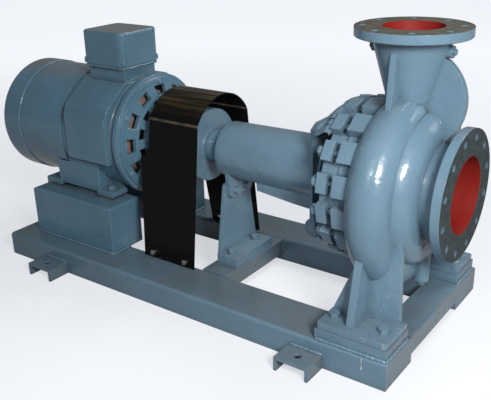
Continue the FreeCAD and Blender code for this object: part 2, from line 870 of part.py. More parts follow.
def casing_cover():
    """Cover between casing and bracket, with the stuffing box for the packing."""
    body = turned([
        (cover_rim_x, box_radius + 2), (cover_rim_x, cover_bore_radius - 6),
        (joint_x, cover_bore_radius - 6), (joint_x, cover_bore_radius - seat_gap),
        (cover_wall_x, cover_bore_radius - seat_gap), (cover_wall_x, wear_ring_seat),
        (cover_wall_x - cover_wall - 6, wear_ring_seat), (cover_wall_x - cover_wall - 6, neck_bush_radius),
        (box_throat_x, neck_bush_radius), (box_throat_x, packing_radius + seat_gap),
        (box_end_x, packing_radius + seat_gap), (box_end_x, box_radius),
        (cover_rim_x - 8, box_radius)])
    pocket = turned([
        (cover_rim_x - 1, box_radius + 12), (cover_wall_x - cover_wall - 14, box_radius + 22),
        (cover_wall_x - cover_wall - 14, cover_bore_radius - 22), (cover_rim_x - 1, cover_bore_radius - 16)])
    flange = turned([
        (cover_rim_x, cover_bore_radius - 7), (cover_rim_x, bracket_ring_radius),
        (joint_x - gasket_thickness, bracket_ring_radius),
        (joint_x - gasket_thickness, cover_bore_radius - 7)])
    body = fuse_all([body.cut(pocket), flange])
    tools = stud_holes(cover_rim_x - 1, joint_x + 1, joint_stud_radius + bolt_gap)
    for side in (-1, 1):
        seat = Vector(box_end_x - 1, side * gland_stud_circle, 0)
        tools.append(rod(seat, ALONG, gland_stud_radius + thread_gap, 22))
    return cut_all(fuse_all([body] + gland_bosses()), tools + [box_bore()])


def gland_bosses():
    """Bosses on the stuffing box for the gland's two studs."""
    bosses = []
    for side in (-1, 1):
        bosses.append(rod(Vector(box_end_x, side * gland_stud_circle, 0), ALONG, gland_boss_radius,
                          gland_boss_length))
        inner, outer = sorted((side * (box_radius - 12), side * gland_stud_circle))
        bosses.append(box(box_end_x, box_end_x + gland_boss_length, inner, outer,
                          -gland_boss_radius, gland_boss_radius))
    return bosses


def box_bore():
    return disc(box_end_x - 1, box_throat_x, packing_radius + seat_gap)


def packing_rings():
    """Rings of square braided packing on both sides of the lantern ring."""
    rings = []
    for k in range(packing_count):
        if k == packing_rings_inside:
            continue
        x1 = box_throat_x - k * packing_width
        rings.append(ring(x1 - packing_width + seat_gap, x1 - seat_gap, packing_radius,
                          sleeve_radius + shaft_gap))
    return rings


def lantern_ring():
    """Grooved ring that leads water between the packing rings."""
    x1 = box_throat_x - packing_rings_inside * packing_width
    x0 = x1 - packing_width
    body = ring(x0 + seat_gap, x1 - seat_gap, packing_radius, sleeve_radius + shaft_gap)
    groove = ring(x0 + 3, x1 - 3, packing_radius + 1, packing_radius - 4)
    holes = turned_copies(rod(Vector((x0 + x1) / 2, 0, 0), UP, 1.8, packing_radius + 5), 6)
    return cut_all(body, [groove] + holes)


def gland():
    """Oval gland follower that presses the packing."""
    nose = ring(gland_flange_x, gland_nose_x - seat_gap, packing_radius - seat_gap,
                sleeve_radius + shaft_gap)
    x0 = gland_flange_x - gland_flange_thickness
    half = gland_stud_circle
    ear = gland_ear_radius
    flange = fuse_all([disc(x0, gland_flange_x, box_radius - 8),
                       rod(Vector(x0, -half, 0), ALONG, ear, gland_flange_thickness),
                       rod(Vector(x0, half, 0), ALONG, ear, gland_flange_thickness),
                       plate_across(x0, gland_flange_x, [
                           (-half - 2, -ear), (0, 8 - box_radius), (half + 2, -ear),
                           (half + 2, ear), (0, box_radius - 8), (-half - 2, ear)])])
    body = fuse_all([nose, flange])
    tools = [disc(x0 - 1, gland_nose_x + 1, sleeve_radius + shaft_gap)]
    for side in (-1, 1):
        tools.append(rod(Vector(x0 - 1, side * half, 0), ALONG, gland_stud_radius + bolt_gap,
                         gland_flange_thickness + 2))
    return cut_all(body, tools)


def gland_studs():
    studs = []
    x0 = gland_flange_x - gland_flange_thickness
    for side in (-1, 1):
        start = Vector(x0 - 16, side * gland_stud_circle, 0)
        stud = rod(start, ALONG, gland_stud_radius, box_end_x + 18 - start.x)
        nut = hexagon(Vector(x0 - gland_nut_height, side * gland_stud_circle, 0), ALONG,
                      gland_nut_flats, gland_nut_height)
        studs.append(fuse_all([stud, nut]))
    return studs


def casing_wear_ring():
    return ring(shoulder_x - 18, shoulder_x - seat_gap, wear_ring_seat - seat_gap,
                impeller_eye_radius + shaft_gap)


def cover_wear_ring():
    x0 = cover_wall_x - cover_wall - 6
    return ring(x0 + seat_gap, cover_wall_x, wear_ring_seat - seat_gap, impeller_eye_radius + shaft_gap)


def casing_gasket():
    """Thin ring between the cover's rim and the casing."""
    return ring(joint_x - gasket_thickness, joint_x, joint_bolt_radius - joint_stud_radius - 2,
                cover_bore_radius)


def joint_studs():
    """Studs with their nuts, screwed into the casing and passing cover and bracket."""
    x0 = bracket_lug_x - joint_nut_height - 6
    x1 = joint_x + casing_lug_depth - 12
    stud = rod(Vector(x0, 0, joint_bolt_radius), ALONG, joint_stud_radius, x1 - x0)
    nut = hexagon(Vector(bracket_lug_x - joint_nut_height, 0, joint_bolt_radius), ALONG,
                  joint_nut_flats, joint_nut_height)
    return turned_copies(fuse_all([stud, nut]), joint_stud_count, 180.0 / joint_stud_count)


# Bearing bracket

def lantern_sides(inset):
    """Block whose sides, top and bottom curve outwards from the wall to the round flange."""
    flare = lantern_rim_x + inset
    middle = bracket_wall_x + lantern_bend_place * (lantern_rim_x - bracket_wall_x) + inset
    start = bracket_wall_x + inset
    end = cover_rim_x + 2
    wide = lantern_large_radius + 3 - inset
    half = lantern_half_width - inset
    top = lantern_top - inset
    low = lantern_bottom - inset
    half_middle = half + lantern_bend * (wide - half)
    top_middle = top + lantern_bend * (wide - top)
    low_middle = low + lantern_bend * (wide - low)
    plan = plate_flat(-wide, wide, [
        (start - 20, -half), (start, -half), ("arc", (middle, -half_middle), (flare, -wide)), (end, -wide),
        (end, wide), (flare, wide), ("arc", (middle, half_middle), (start, half)), (start - 20, half)])
    side = plate_along(-wide, wide, [
        (start - 20, -low), (start, -low), ("arc", (middle, -low_middle), (flare, -wide)),
        (end, -wide), (end, wide), (flare, wide), ("arc", (middle, top_middle), (start, top)),
        (start - 20, top)])
    return plan.common(side)


def bracket_outside():
    """Bearing tube, and the lantern that opens from its wall into the round flange."""
    large = lantern_large_radius
    tube = turned([(tube_end_x, 0), (tube_end_x, tube_end_radius), (bracket_wall_x + 5, tube_root_radius),
                   (bracket_wall_x + 5, 0)])
    lantern = turned([
        (bracket_wall_x, 0), (bracket_wall_x, lantern_corner_radius), (lantern_rim_x, large - 3),
        ("arc", (lantern_rim_x + 3, large - 1), (lantern_rim_x + 8, large)),
        (bracket_lug_x, large), (bracket_lug_x, bracket_ring_radius),
        (cover_rim_x, bracket_ring_radius), (cover_rim_x, 0)])
    return tube.fuse(lantern.common(lantern_sides(0.0)))


def bearing_room():
    """The bearing tube's bore with its two seats."""
    seat = bearing_outer_radius + seat_gap
    drive_end = drive_bearing_x + bearing_width
    return turned([
        (tube_end_x - 1, 0), (tube_end_x - 1, seat), (drive_end, seat), (drive_end, seat - 5),
        (drive_end + 6, seat - 5), (drive_end + 6, oil_chamber_radius),
        (pump_bearing_x - 6, oil_chamber_radius), (pump_bearing_x - 6, seat - 5),
        (pump_bearing_x, seat - 5), (pump_bearing_x, seat),
        (bracket_wall_x + bracket_wall + 1, seat), (bracket_wall_x + bracket_wall + 1, 0)])


def lantern_room():
    """Open room of the lantern, from its wall to the casing cover."""
    start = bracket_wall_x + bracket_wall
    rim = cover_bore_radius - 6 + seat_gap
    room = turned([
        (start, 0), (start, lantern_corner_radius - lantern_wall),
        (bracket_lug_x - 30, cover_bore_radius - 13),
        (bracket_lug_x + 4, rim), (cover_rim_x + 1, rim), (cover_rim_x + 1, 0)])
    return room.common(lantern_sides(lantern_wall))


def lantern_windows():
    """Two large side windows through which the gland is reached, wider towards the pump."""
    x0 = bracket_wall_x + bracket_wall
    x1 = bracket_lug_x + 2
    corners = [(x0, -window_bottom), (x1, -window_large_half), (x1, window_large_half), (x0, window_top)]
    window = plate_along(-lantern_large_radius - 10, -40, softened(corners, window_corner))
    return both_sides(window)


def drip_outlet():
    """Boss low on the lantern's near side, and the bores that drain the lantern through it."""
    boss = rod(Vector(drip_x, drip_face_y, drip_z), ACROSS, drip_boss_radius, drip_boss_length)
    tap = rod(Vector(drip_x, drip_face_y - 1, drip_z), ACROSS, drip_hole_radius, 45)
    drop = rod(Vector(drip_x, drip_face_y + 34, drip_z), UP, drip_hole_radius / 2, 45)
    return boss, [tap, drop]


def oil_plug_boss():
    return rod(Vector(oil_plug_x, 0, oil_plug_z), UP, oil_boss_radius, 30)


def filler_boss():
    boss = rod(Vector(filler_x, 0, 70), UP, filler_radius + 8, tube_root_radius - 66)
    boss.rotate(ORIGIN, ALONG, filler_turn)
    return boss


def oil_sump():
    """Oil pocket under the bearing tube, deeper towards the lantern, and its inside."""
    x0 = sump_start_x
    x1 = bracket_wall_x + 6
    half = sump_half_width
    deep = lantern_bottom
    outer = plate_across(x0, x1, [
        (-half - 8, -52), (-half, -deep + 14),
        ("arc", (-half + 5, -deep + 4), (-half + 14, -deep)), (half - 14, -deep),
        ("arc", (half - 5, -deep + 4), (half, -deep + 14)), (half + 8, -52)])
    slope = plate_along(-half - 20, half + 20, [
        (x0 - 1, -40), (x1 + 1, -40), (x1 + 1, -deep), (bracket_wall_x, -deep), (x0 - 1, -sump_start_depth)])
    wall = sump_wall
    inner = plate_along(-half + wall, half - wall, [
        (x0 + wall, -40), (pump_bearing_x - 10, -40), (pump_bearing_x - 10, -deep + 2 * wall),
        (x0 + wall, -sump_start_depth + wall)])
    return outer.common(slope), inner


def support_lug():
    """Cast lug under the tube's drive end that is bolted to the bearing pedestal."""
    half = support_lug_half
    low = support_lug_depth
    return plate_across(pedestal_x, pedestal_x + support_lug_thickness, [
        (-half - 6, -50), (-half, -low + 12), ("arc", (-half + 4, -low + 4), (-half + 12, -low)),
        (half - 12, -low), ("arc", (half - 4, -low + 4), (half, -low + 12)), (half + 6, -50)])


def bracket_tapped_holes():
    """Holes for the screws of both bearing covers, the support bolts and the plugs."""
    tools = []
    screw = rod(Vector(tube_end_x - 1, 0, cover_screw_circle), ALONG, cover_screw_radius + thread_gap, 20)
    tools.extend(turned_copies(screw, cover_screw_count, 45))
    screw = rod(Vector(bracket_wall_x + bracket_wall - 17, 0, cover_screw_circle), ALONG,
                cover_screw_radius + thread_gap, 18)
    tools.extend(turned_copies(screw, cover_screw_count, 45))
    for side in (-1, 1):
        tools.append(rod(Vector(pedestal_x - 1, side * support_bolt_y, support_bolt_z), ALONG,
                         support_bolt_radius + bolt_gap, support_lug_thickness + 2))
    filler = rod(Vector(filler_x, 0, 40), UP, filler_radius + thread_gap, 80)
    filler.rotate(ORIGIN, ALONG, filler_turn)
    tools.append(filler)
    tools.append(rod(Vector(oil_plug_x, 0, oil_plug_z - 1), UP, oil_plug_radius + thread_gap, 32))
    tools.extend(stud_holes(bracket_lug_x - 60, bracket_lug_x, nut_pocket_radius))
    return tools


def bearing_bracket():
    pieces = [bracket_outside()]
    pieces.extend(lug_ring(bracket_lug_x, cover_rim_x, bracket_lug_radius, bracket_lug_width))
    sump, sump_room = oil_sump()
    pieces.append(sump)
    pieces.append(support_lug())
    pieces.append(filler_boss())
    pieces.append(oil_plug_boss())
    drip_boss, drip_bores = drip_outlet()
    pieces.append(drip_boss)
    casting = pieces[0]
    for piece in pieces[1:]:
        casting = casting.fuse(piece)
    tools = [bearing_room(), lantern_room(), sump_room] + lantern_windows() + bracket_tapped_holes()
    tools.extend(drip_bores)
    tools.extend(stud_holes(bracket_lug_x - 1, cover_rim_x + 1, joint_stud_radius + bolt_gap))
    for tool in tools:
        casting = casting.cut(tool)
    return casting


def drive_bearing_cover():
    """Round cover with a lip on the drive end of the bearing tube."""
    x1 = tube_end_x
    lip = bearing_bore_radius + shaft_gap
    body = turned([
        (x1 - bearing_cover_thickness, lip),
        (x1 - bearing_cover_thickness, 52),
        ("arc", (x1 - bearing_cover_thickness + 1, 59), (x1 - 8, 62)), (x1 - 8, tube_end_radius - 1),
        (x1, tube_end_radius - 1), (x1, bearing_outer_radius - seat_gap),
        (x1 + 4.9, bearing_outer_radius - seat_gap), (x1 + 4.9, bearing_outer_radius - 8),
        (x1, bearing_outer_radius - 8), (x1, lip)])
    hole = rod(Vector(x1 - 20, 0, cover_screw_circle), ALONG, cover_screw_radius + bolt_gap, 22)
    return cut_all(body, turned_copies(hole, cover_screw_count, 45))


def pump_bearing_cover():
    """Round cover inside the lantern, on the pump end of the bearing tube."""
    x0 = bracket_wall_x + bracket_wall
    lip = bearing_bore_radius + shaft_gap
    end = pump_bearing_x + bearing_width + 0.1
    body = turned([
        (x0, lip), (x0, bearing_outer_radius - 8), (end, bearing_outer_radius - 8),
        (end, bearing_outer_radius - seat_gap), (x0, bearing_outer_radius - seat_gap),
        (x0, tube_end_radius - 4), (x0 + 8, tube_end_radius - 4),
        (x0 + 8, 58), (x0 + 10, 54), (x0 + 10, lip)])
    hole = rod(Vector(x0 - 1, 0, cover_screw_circle), ALONG, cover_screw_radius + bolt_gap, 20)
    return cut_all(body, turned_copies(hole, cover_screw_count, 45))


def bearing_cover_screws():
    near = hex_bolt(Vector(tube_end_x - 8, 0, cover_screw_circle), ALONG * -1, cover_screw_radius, 24)
    far = hex_bolt(Vector(bracket_wall_x + bracket_wall + 8, 0, cover_screw_circle), ALONG,
                   cover_screw_radius, 22)
    return turned_copies(near, cover_screw_count, 45) + turned_copies(far, cover_screw_count, 45)


def bearing_outer(x0, outer, width, ball, pitch):
    race = ring(x0, x0 + width, outer - seat_gap, pitch + ball * race_reach)
    groove = Part.makeTorus(pitch, ball + seat_gap, Vector(x0 + width / 2, 0, 0), ALONG)
    return race.cut(groove)


def bearing_inner(x0, bore, width, ball, pitch):
    race = ring(x0, x0 + width, pitch - ball * race_reach, bore + seat_gap)
    groove = Part.makeTorus(pitch, ball + seat_gap, Vector(x0 + width / 2, 0, 0), ALONG)
    return race.cut(groove)


def bearing_balls(x0, width, ball, pitch):
    one = Part.makeSphere(ball, Vector(x0 + width / 2, 0, pitch))
    return turned_copies(one, ball_count)


def filler_plug():
    top = tube_root_radius + 4
    head = hexagon(Vector(filler_x, 0, top), UP, 22, 11)
    collar = rod(Vector(filler_x, 0, top), UP, 14, 4)
    stem = rod(Vector(filler_x, 0, top - 16), UP, filler_radius, 18)
    plug = fuse_all([head, collar, stem])
    plug.rotate(ORIGIN, ALONG, filler_turn)
    return plug


def oil_drain_plug():
    start = Vector(oil_plug_x, 0, oil_plug_z)
    head = hexagon(start, UP * -1, 19, 10)
    stem = rod(start - UP * 4, UP, oil_plug_radius, 20)
    return fuse_all([head, stem])


def casing_drain_plug():
    start = Vector(drain_x, 0, drain_z)
    head = hexagon(start, UP * -1, 22, 12)
    collar = rod(start, UP * -1, 16, 5)
    stem = rod(start - UP * 4, UP, drain_radius, 22)
    return fuse_all([head, collar, stem])


def bearing_pedestal():
    """Bent plate under the drive end of the bearing tube: foot and tapering upright."""
    x1 = pedestal_x
    x0 = x1 - pedestal_thickness
    base_z = rail_top_z + pedestal_packer_thickness
    top_z = support_bolt_z + pedestal_head_above
    foot = pedestal_foot_half
    head = pedestal_head_half
    upright = plate_across(x0, x1, [
        (-foot, base_z), (foot, base_z), (head, top_z - 20),
        ("arc", (head - 6, top_z - 6), (head - 20, top_z)),
        (-head + 20, top_z), ("arc", (-head + 6, top_z - 6), (-head, top_z - 20))])
    base = box(x0, x1 + pedestal_foot_reach, -foot, foot, base_z, base_z + pedestal_base_thickness)
    body = fuse_all([upright, base])
    tools = []
    for side in (-1, 1):
        tools.append(rod(Vector(x0 - 1, side * support_bolt_y, support_bolt_z), ALONG,
                         support_bolt_radius + bolt_gap, pedestal_thickness + 2))
        tools.append(rod(Vector(pedestal_bolt_x, side * pedestal_bolt_y, base_z - 1), UP,
                         pedestal_bolt_radius + bolt_gap, 20))
    return cut_all(body, tools)


def pedestal_packer():
    x0 = pedestal_x - pedestal_thickness
    foot = pedestal_foot_half
    packer = box(x0, pedestal_x + pedestal_foot_reach, -foot, foot,
                 rail_top_z, rail_top_z + pedestal_packer_thickness)
    tools = []
    for side in (-1, 1):
        tools.append(rod(Vector(pedestal_bolt_x, side * pedestal_bolt_y, rail_top_z - 1), UP,
                         pedestal_bolt_radius + bolt_gap, 20))
    return cut_all(packer, tools)


def pedestal_bolts():
    bolts = []
    seat_z = rail_top_z + pedestal_packer_thickness + pedestal_base_thickness
    for side in (-1, 1):
        below = Vector(pedestal_bolt_x, side * pedestal_bolt_y, rail_top_z - cross_wall)
        bolt = hex_bolt(Vector(below.x, below.y, seat_z), UP, pedestal_bolt_radius, seat_z - below.z + 18)
        bolts.append(fuse_all([bolt, hexagon(below, UP * -1, pedestal_bolt_radius * 3, 13)]))
        bolt = hex_bolt(Vector(pedestal_x + support_lug_thickness, side * support_bolt_y, support_bolt_z),
                        ALONG, support_bolt_radius, 42)
        nut = hexagon(Vector(pedestal_x - pedestal_thickness - 10, side * support_bolt_y, support_bolt_z),
                      ALONG, 3 * support_bolt_radius, 10)
        bolts.append(fuse_all([bolt, nut]))
    return bolts


def build_pump():
    save("volute_casing", [volute_casing()])
    save("casing_cover", [casing_cover()])
    save("wear_rings", [casing_wear_ring(), cover_wear_ring()])
    save("casing_gasket", [casing_gasket()])
    save("joint_studs", joint_studs())
    save("packing_rings", packing_rings())
    save("lantern_ring", [lantern_ring()])
    save("gland", [gland()])
    save("gland_studs", gland_studs())
    save("bearing_bracket", [bearing_bracket()])
    save("bearing_covers", [drive_bearing_cover(), pump_bearing_cover()])
    save("bearing_cover_screws", bearing_cover_screws())
    save("bearing_pedestal", [bearing_pedestal()])
    save("pedestal_packer", [pedestal_packer()])
    save("pedestal_bolts", pedestal_bolts())
    save("plugs", [filler_plug(), oil_drain_plug(), casing_drain_plug()] + gauge_plugs())
    save("pump_foot_bolts", pump_foot_bolts())


def pump_foot_bolts():
    bolts = []
    for x in foot_bolt_places():
        for side in (-1, 1):
            bolts.append(hex_bolt(Vector(x, side * foot_bolt_y, foot_top_z), UP, foot_bolt_radius,
                                  foot_bolt_reach))
    return bolts


# Turning parts of the pump

def pump_shaft():
    body = turned([
        (pump_shaft_end, 0), (pump_shaft_end, coupling_shaft_radius - 1.5),
        (pump_shaft_end + 1.5, coupling_shaft_radius),
        (pump_hub_x + coupling_hub_length, coupling_shaft_radius),
        (pump_hub_x + coupling_hub_length, bearing_bore_radius),
        (drive_bearing_x + bearing_width, bearing_bore_radius),
        (drive_bearing_x + bearing_width, shaft_middle_radius), (pump_bearing_x, shaft_middle_radius),
        (pump_bearing_x, bearing_bore_radius), (sleeve_start_x, bearing_bore_radius),
        (sleeve_start_x, sleeve_bore_radius), (impeller_hub_x, sleeve_bore_radius),
        (impeller_hub_x, impeller_bore_radius), (impeller_nut_x, impeller_bore_radius),
        (impeller_nut_x, shaft_thread_radius), (shaft_end_x - 2, shaft_thread_radius),
        (shaft_end_x, shaft_thread_radius - 2), (shaft_end_x, 0)])
    return cut_all(body, [coupling_key(0.0), impeller_key_block(0.0)])


def key_block(x0, shaft_radius, slack):
    """Parallel key half in the shaft and half in the hub; slack widens it for the keyways."""
    half = key_width / 2 + slack
    return box(x0, x0 + key_length, -half, half, shaft_radius - key_height * 0.6,
               shaft_radius + key_height * 0.4 + slack)


def coupling_key(slack):
    return key_block(pump_hub_x + key_inset, coupling_shaft_radius, slack)


def motor_key(slack):
    return key_block(motor_shaft_end - key_inset - key_length, motor_shaft_radius, slack)


def impeller_key_block(slack):
    half = impeller_key_half + slack
    return box(impeller_hub_x + 8, impeller_nut_x - 8, -half, half, impeller_bore_radius - 5,
               impeller_bore_radius + 3 + slack)


def shaft_sleeve():
    return ring(sleeve_start_x, impeller_hub_x - seat_gap, sleeve_radius, sleeve_bore_radius + seat_gap)


def vane(first_angle):
    """One vane, a curved blade that sweeps back from the way of turning."""
    def corner(radius, angle):
        turn = math.radians(first_angle + angle)
        return (radius * math.cos(turn), radius * math.sin(turn))

    tip = impeller_radius - 1
    root = impeller_eye_radius - 30
    middle = (tip + root) / 2
    wide = math.degrees(impeller_vane_thickness / tip)
    half = impeller_exit_width / 2
    return plate_across(-half - 2, half + 2, [
        corner(root, 0), ("arc", corner(middle, -30), corner(tip, -74)), corner(tip, -74 + wide),
        ("arc", corner(middle, -30 + 1.5 * wide), corner(root, 2.4 * wide))])


def impeller():
    half = impeller_exit_width / 2
    eye = impeller_eye_radius
    skin = impeller_shroud
    hub = turned([
        (impeller_hub_x, impeller_bore_radius + seat_gap), (impeller_hub_x, impeller_hub_radius),
        (-half - skin, impeller_hub_radius), (-half - skin, eye - 8),
        (cover_wall_x - cover_wall - 2, eye - 8), (cover_wall_x - cover_wall - 2, eye),
        (-half - skin, eye), (-half - skin, impeller_radius), (-half, impeller_radius),
        (-half, impeller_hub_radius + 12),
        ("arc", (-half + 8, impeller_hub_radius + 3), (impeller_nut_x, impeller_hub_radius - 4)),
        (impeller_nut_x, impeller_bore_radius + seat_gap)])
    front = turned([
        (half, impeller_radius), (half + skin, impeller_radius), (half + skin + 6, eye + 20),
        ("arc", (half + skin + 8, eye + 6), (shoulder_x - 21, eye)), (shoulder_x - 1, eye),
        (shoulder_x - 1, eye - 8), (shoulder_x - 21, eye - 8),
        ("arc", (half + skin, eye + 1), (half + 4, eye + 16))])
    body = hub
    for k in range(impeller_vanes):
        body = body.fuse(vane(360.0 * k / impeller_vanes))
    body = body.fuse(front)
    return body.cut(impeller_key_block(seat_gap))


def impeller_nut():
    nut = hexagon(Vector(impeller_nut_x, 0, 0), ALONG, 40, 20)
    dome = disc(impeller_nut_x, impeller_nut_x + 4, 26)
    return fuse_all([nut, dome]).cut(
        disc(impeller_nut_x - 1, impeller_nut_x + 21, shaft_thread_radius + thread_gap))


def water_thrower():
    """Rubber ring on the shaft that throws off leaking water before the bearing."""
    x0 = water_thrower_x
    return turned([(x0, bearing_bore_radius + seat_gap), (x0, bearing_bore_radius + 14),
                   (x0 + 3, bearing_bore_radius + 14), (x0 + 5, bearing_bore_radius + 6),
                   (x0 + 5, bearing_bore_radius + seat_gap)])


def coupling_blank(face_x, side):
    """Flange and hub turned in one; side is +1 when the hub lies towards the pump."""
    far = side * coupling_flange_thickness
    end = side * coupling_hub_length
    edge = side * 2.0
    return turned([
        (face_x, coupling_shaft_radius + seat_gap), (face_x, coupling_radius - 2),
        (face_x + edge, coupling_radius), (face_x + far - edge, coupling_radius),
        (face_x + far, coupling_radius - 2), (face_x + far, coupling_hub_radius + 6),
        ("arc", (face_x + far + side * 1.8, coupling_hub_radius + 1.8),
         (face_x + far + side * 6, coupling_hub_radius)),
        (face_x + end - edge, coupling_hub_radius), (face_x + end, coupling_hub_radius - 2),
        (face_x + end, coupling_shaft_radius + seat_gap)])


def pump_coupling_half():
    body = coupling_blank(pump_hub_x, 1)
    hole = rod(Vector(pump_hub_x - 1, 0, coupling_pin_circle), ALONG,
               coupling_pin_radius + seat_gap, coupling_flange_thickness - 9)
    return cut_all(body, turned_copies(hole, coupling_pin_count, pin_turn) + [coupling_key(seat_gap)])


def motor_coupling_half():
    body = coupling_blank(motor_shaft_end, -1)
    hole = rod(Vector(motor_shaft_end - coupling_flange_thickness - 1, 0, coupling_pin_circle), ALONG,
               coupling_bush_radius + shaft_gap, coupling_flange_thickness + 2)
    return cut_all(body, turned_copies(hole, coupling_pin_count, pin_turn) + [motor_key(seat_gap)])


def coupling_pins():
    x0 = motor_shaft_end - coupling_flange_thickness - 3
    x1 = pump_hub_x + coupling_flange_thickness - 11
    stem = rod(Vector(x0, 0, coupling_pin_circle), ALONG, coupling_pin_radius, x1 - x0)
    head = rod(Vector(x0 - 4, 0, coupling_pin_circle), ALONG, coupling_pin_radius + 4, 4)
    return turned_copies(fuse_all([stem, head]), coupling_pin_count, pin_turn)


def coupling_bushes():
    x0 = motor_shaft_end - coupling_flange_thickness
    outer = rod(Vector(x0, 0, coupling_pin_circle), ALONG, coupling_bush_radius, coupling_flange_thickness)
    inner = rod(Vector(x0 - 1, 0, coupling_pin_circle), ALONG, coupling_pin_radius + seat_gap,
                coupling_flange_thickness + 2)
    return turned_copies(outer.cut(inner), coupling_pin_count, pin_turn)


def build_pump_rotor():
    stations = (drive_bearing_x, pump_bearing_x)
    sizes = (bearing_width, ball_radius, bearing_pitch)
    save("pump_shaft", [pump_shaft()])
    save("shaft_sleeve", [shaft_sleeve()])
    save("impeller", [impeller()])
    save("impeller_nut", [impeller_nut()])
    save("pump_keys", [impeller_key_block(0.0), coupling_key(0.0)])
    save("water_thrower", [water_thrower()])
    save("pump_bearing_outer_rings", [bearing_outer(x, bearing_outer_radius, *sizes) for x in stations])
    save("pump_bearing_inner_rings", [bearing_inner(x, bearing_bore_radius, *sizes) for x in stations])
    balls = []
    for x in stations:
        balls.extend(bearing_balls(x, *sizes))
    save("pump_bearing_balls", balls)
    save("pump_coupling_half", [pump_coupling_half()])
    save("coupling_pins", coupling_pins())
    save("coupling_bushes", coupling_bushes())


# Coupling guard

def guard_outline(inset, foot_z):
    """Half of the arch section and its mirror: legs that lean in to a round top."""
    centre_z = guard_bend_z - math.sqrt(guard_arch_radius ** 2 - guard_bend_y ** 2)
    crest = centre_z + guard_arch_radius - inset
    return [(-guard_foot_y + inset, foot_z), (-guard_bend_y + inset, guard_bend_z),
            (0, crest), (guard_bend_y - inset, guard_bend_z), (guard_foot_y - inset, foot_z)]


def coupling_guard():
    """Bent sheet over the coupling, with legs that widen in a step down to the rails."""
    outer = guard_outline(0, rail_top_z)
    inner = guard_outline(guard_sheet, rail_top_z)
    sheet = plate_across(guard_step_x, guard_foot_right_x, [
        outer[0], outer[1], ("arc", outer[2], outer[3]), outer[4],
        inner[4], inner[3], ("arc", inner[2], inner[1]), inner[0]])
    top = guard_arch_radius * 2
    side = plate_along(-guard_foot_y - 1, guard_foot_y + 1, [
        (guard_left_x, top), (guard_left_x, guard_step_top_z), (guard_step_x, guard_step_low_z),
        (guard_foot_left_x, rail_top_z - 1), (guard_foot_right_x, rail_top_z - 1),
        (guard_right_x, guard_bend_z), (guard_right_x, top)])
    sheet = sheet.common(side)
    return cut_all(sheet, guard_screw_holes())


def guard_lean():
    return math.atan((guard_foot_y - guard_bend_y) / (guard_bend_z - rail_top_z))


def guard_screw_stations():
    return (guard_foot_left_x + guard_screw_inset, guard_foot_right_x - guard_screw_inset)


def guard_screw_places():
    """Points on the legs' outer faces and the outward directions there."""
    lean = guard_lean()
    height = guard_screw_height
    places = []
    for x in guard_screw_stations():
        for side in (-1, 1):
            point = Vector(x, side * (guard_foot_y - height * math.tan(lean)), rail_top_z + height)
            places.append((point, Vector(0, side * math.cos(lean), math.sin(lean))))
    return places


def guard_screw_holes():
    tools = []
    for point, outward in guard_screw_places():
        tools.append(rod(point - outward * 20, outward, guard_screw_radius + thread_gap, 30))
    return tools


def guard_feet():
    """Angles on the rails, inside the guard's legs."""
    lean = math.tan(guard_lean())
    near_y = -guard_foot_y + guard_sheet / math.cos(guard_lean()) + seat_gap
    thick = guard_angle_thickness
    height = guard_angle_height
    feet = []
    for x in guard_screw_stations():
        angle = plate_across(x - guard_tab / 2, x + guard_tab / 2, [
            (near_y, rail_top_z), (-rail_inner_y - 1, rail_top_z), (-rail_inner_y - 1, rail_top_z + thick),
            (near_y + thick + thick * lean, rail_top_z + thick),
            (near_y + thick + height * lean, rail_top_z + height),
            (near_y + height * lean, rail_top_z + height)])
        feet.extend(both_sides(angle))
    return [cut_all(angle, guard_screw_holes()) for angle in feet]


def guard_screws():
    screws = []
    for point, outward in guard_screw_places():
        screws.append(hex_bolt(point, outward, guard_screw_radius, 9))
    return screws


def build_guard():
    save("coupling_guard", [coupling_guard()])
    save("guard_feet", guard_feet())
    save("guard_screws", guard_screws())


# Motor

def motor_foot():
    """Near side foot: a box under the frame with a pad at each end and a rib at the drive end."""
    inner_y = motor_foot_half - motor_foot_half_width
    outer_y = motor_foot_half + motor_foot_half_width
    half = motor_foot_length / 2
    left = second_foot_x + half
    right = first_foot_x - half + 9
    pieces = [box(left - 9, right, -outer_y + 5, -inner_y, motor_foot_z + 8, -62)]
    for x in (first_foot_x, second_foot_x):
        pieces.append(box(x - half, x + half, -outer_y, -inner_y, motor_foot_z,
                          motor_foot_z + motor_foot_thickness))
    pad_top = motor_foot_z + motor_foot_thickness - 1
    pieces.append(plate_along(-inner_y - 10, -inner_y, [
        (right - 8, pad_top), (right + motor_foot_length - 12, pad_top),
        (right, pad_top + 66), (right - 8, pad_top + 66)]))
    return pieces


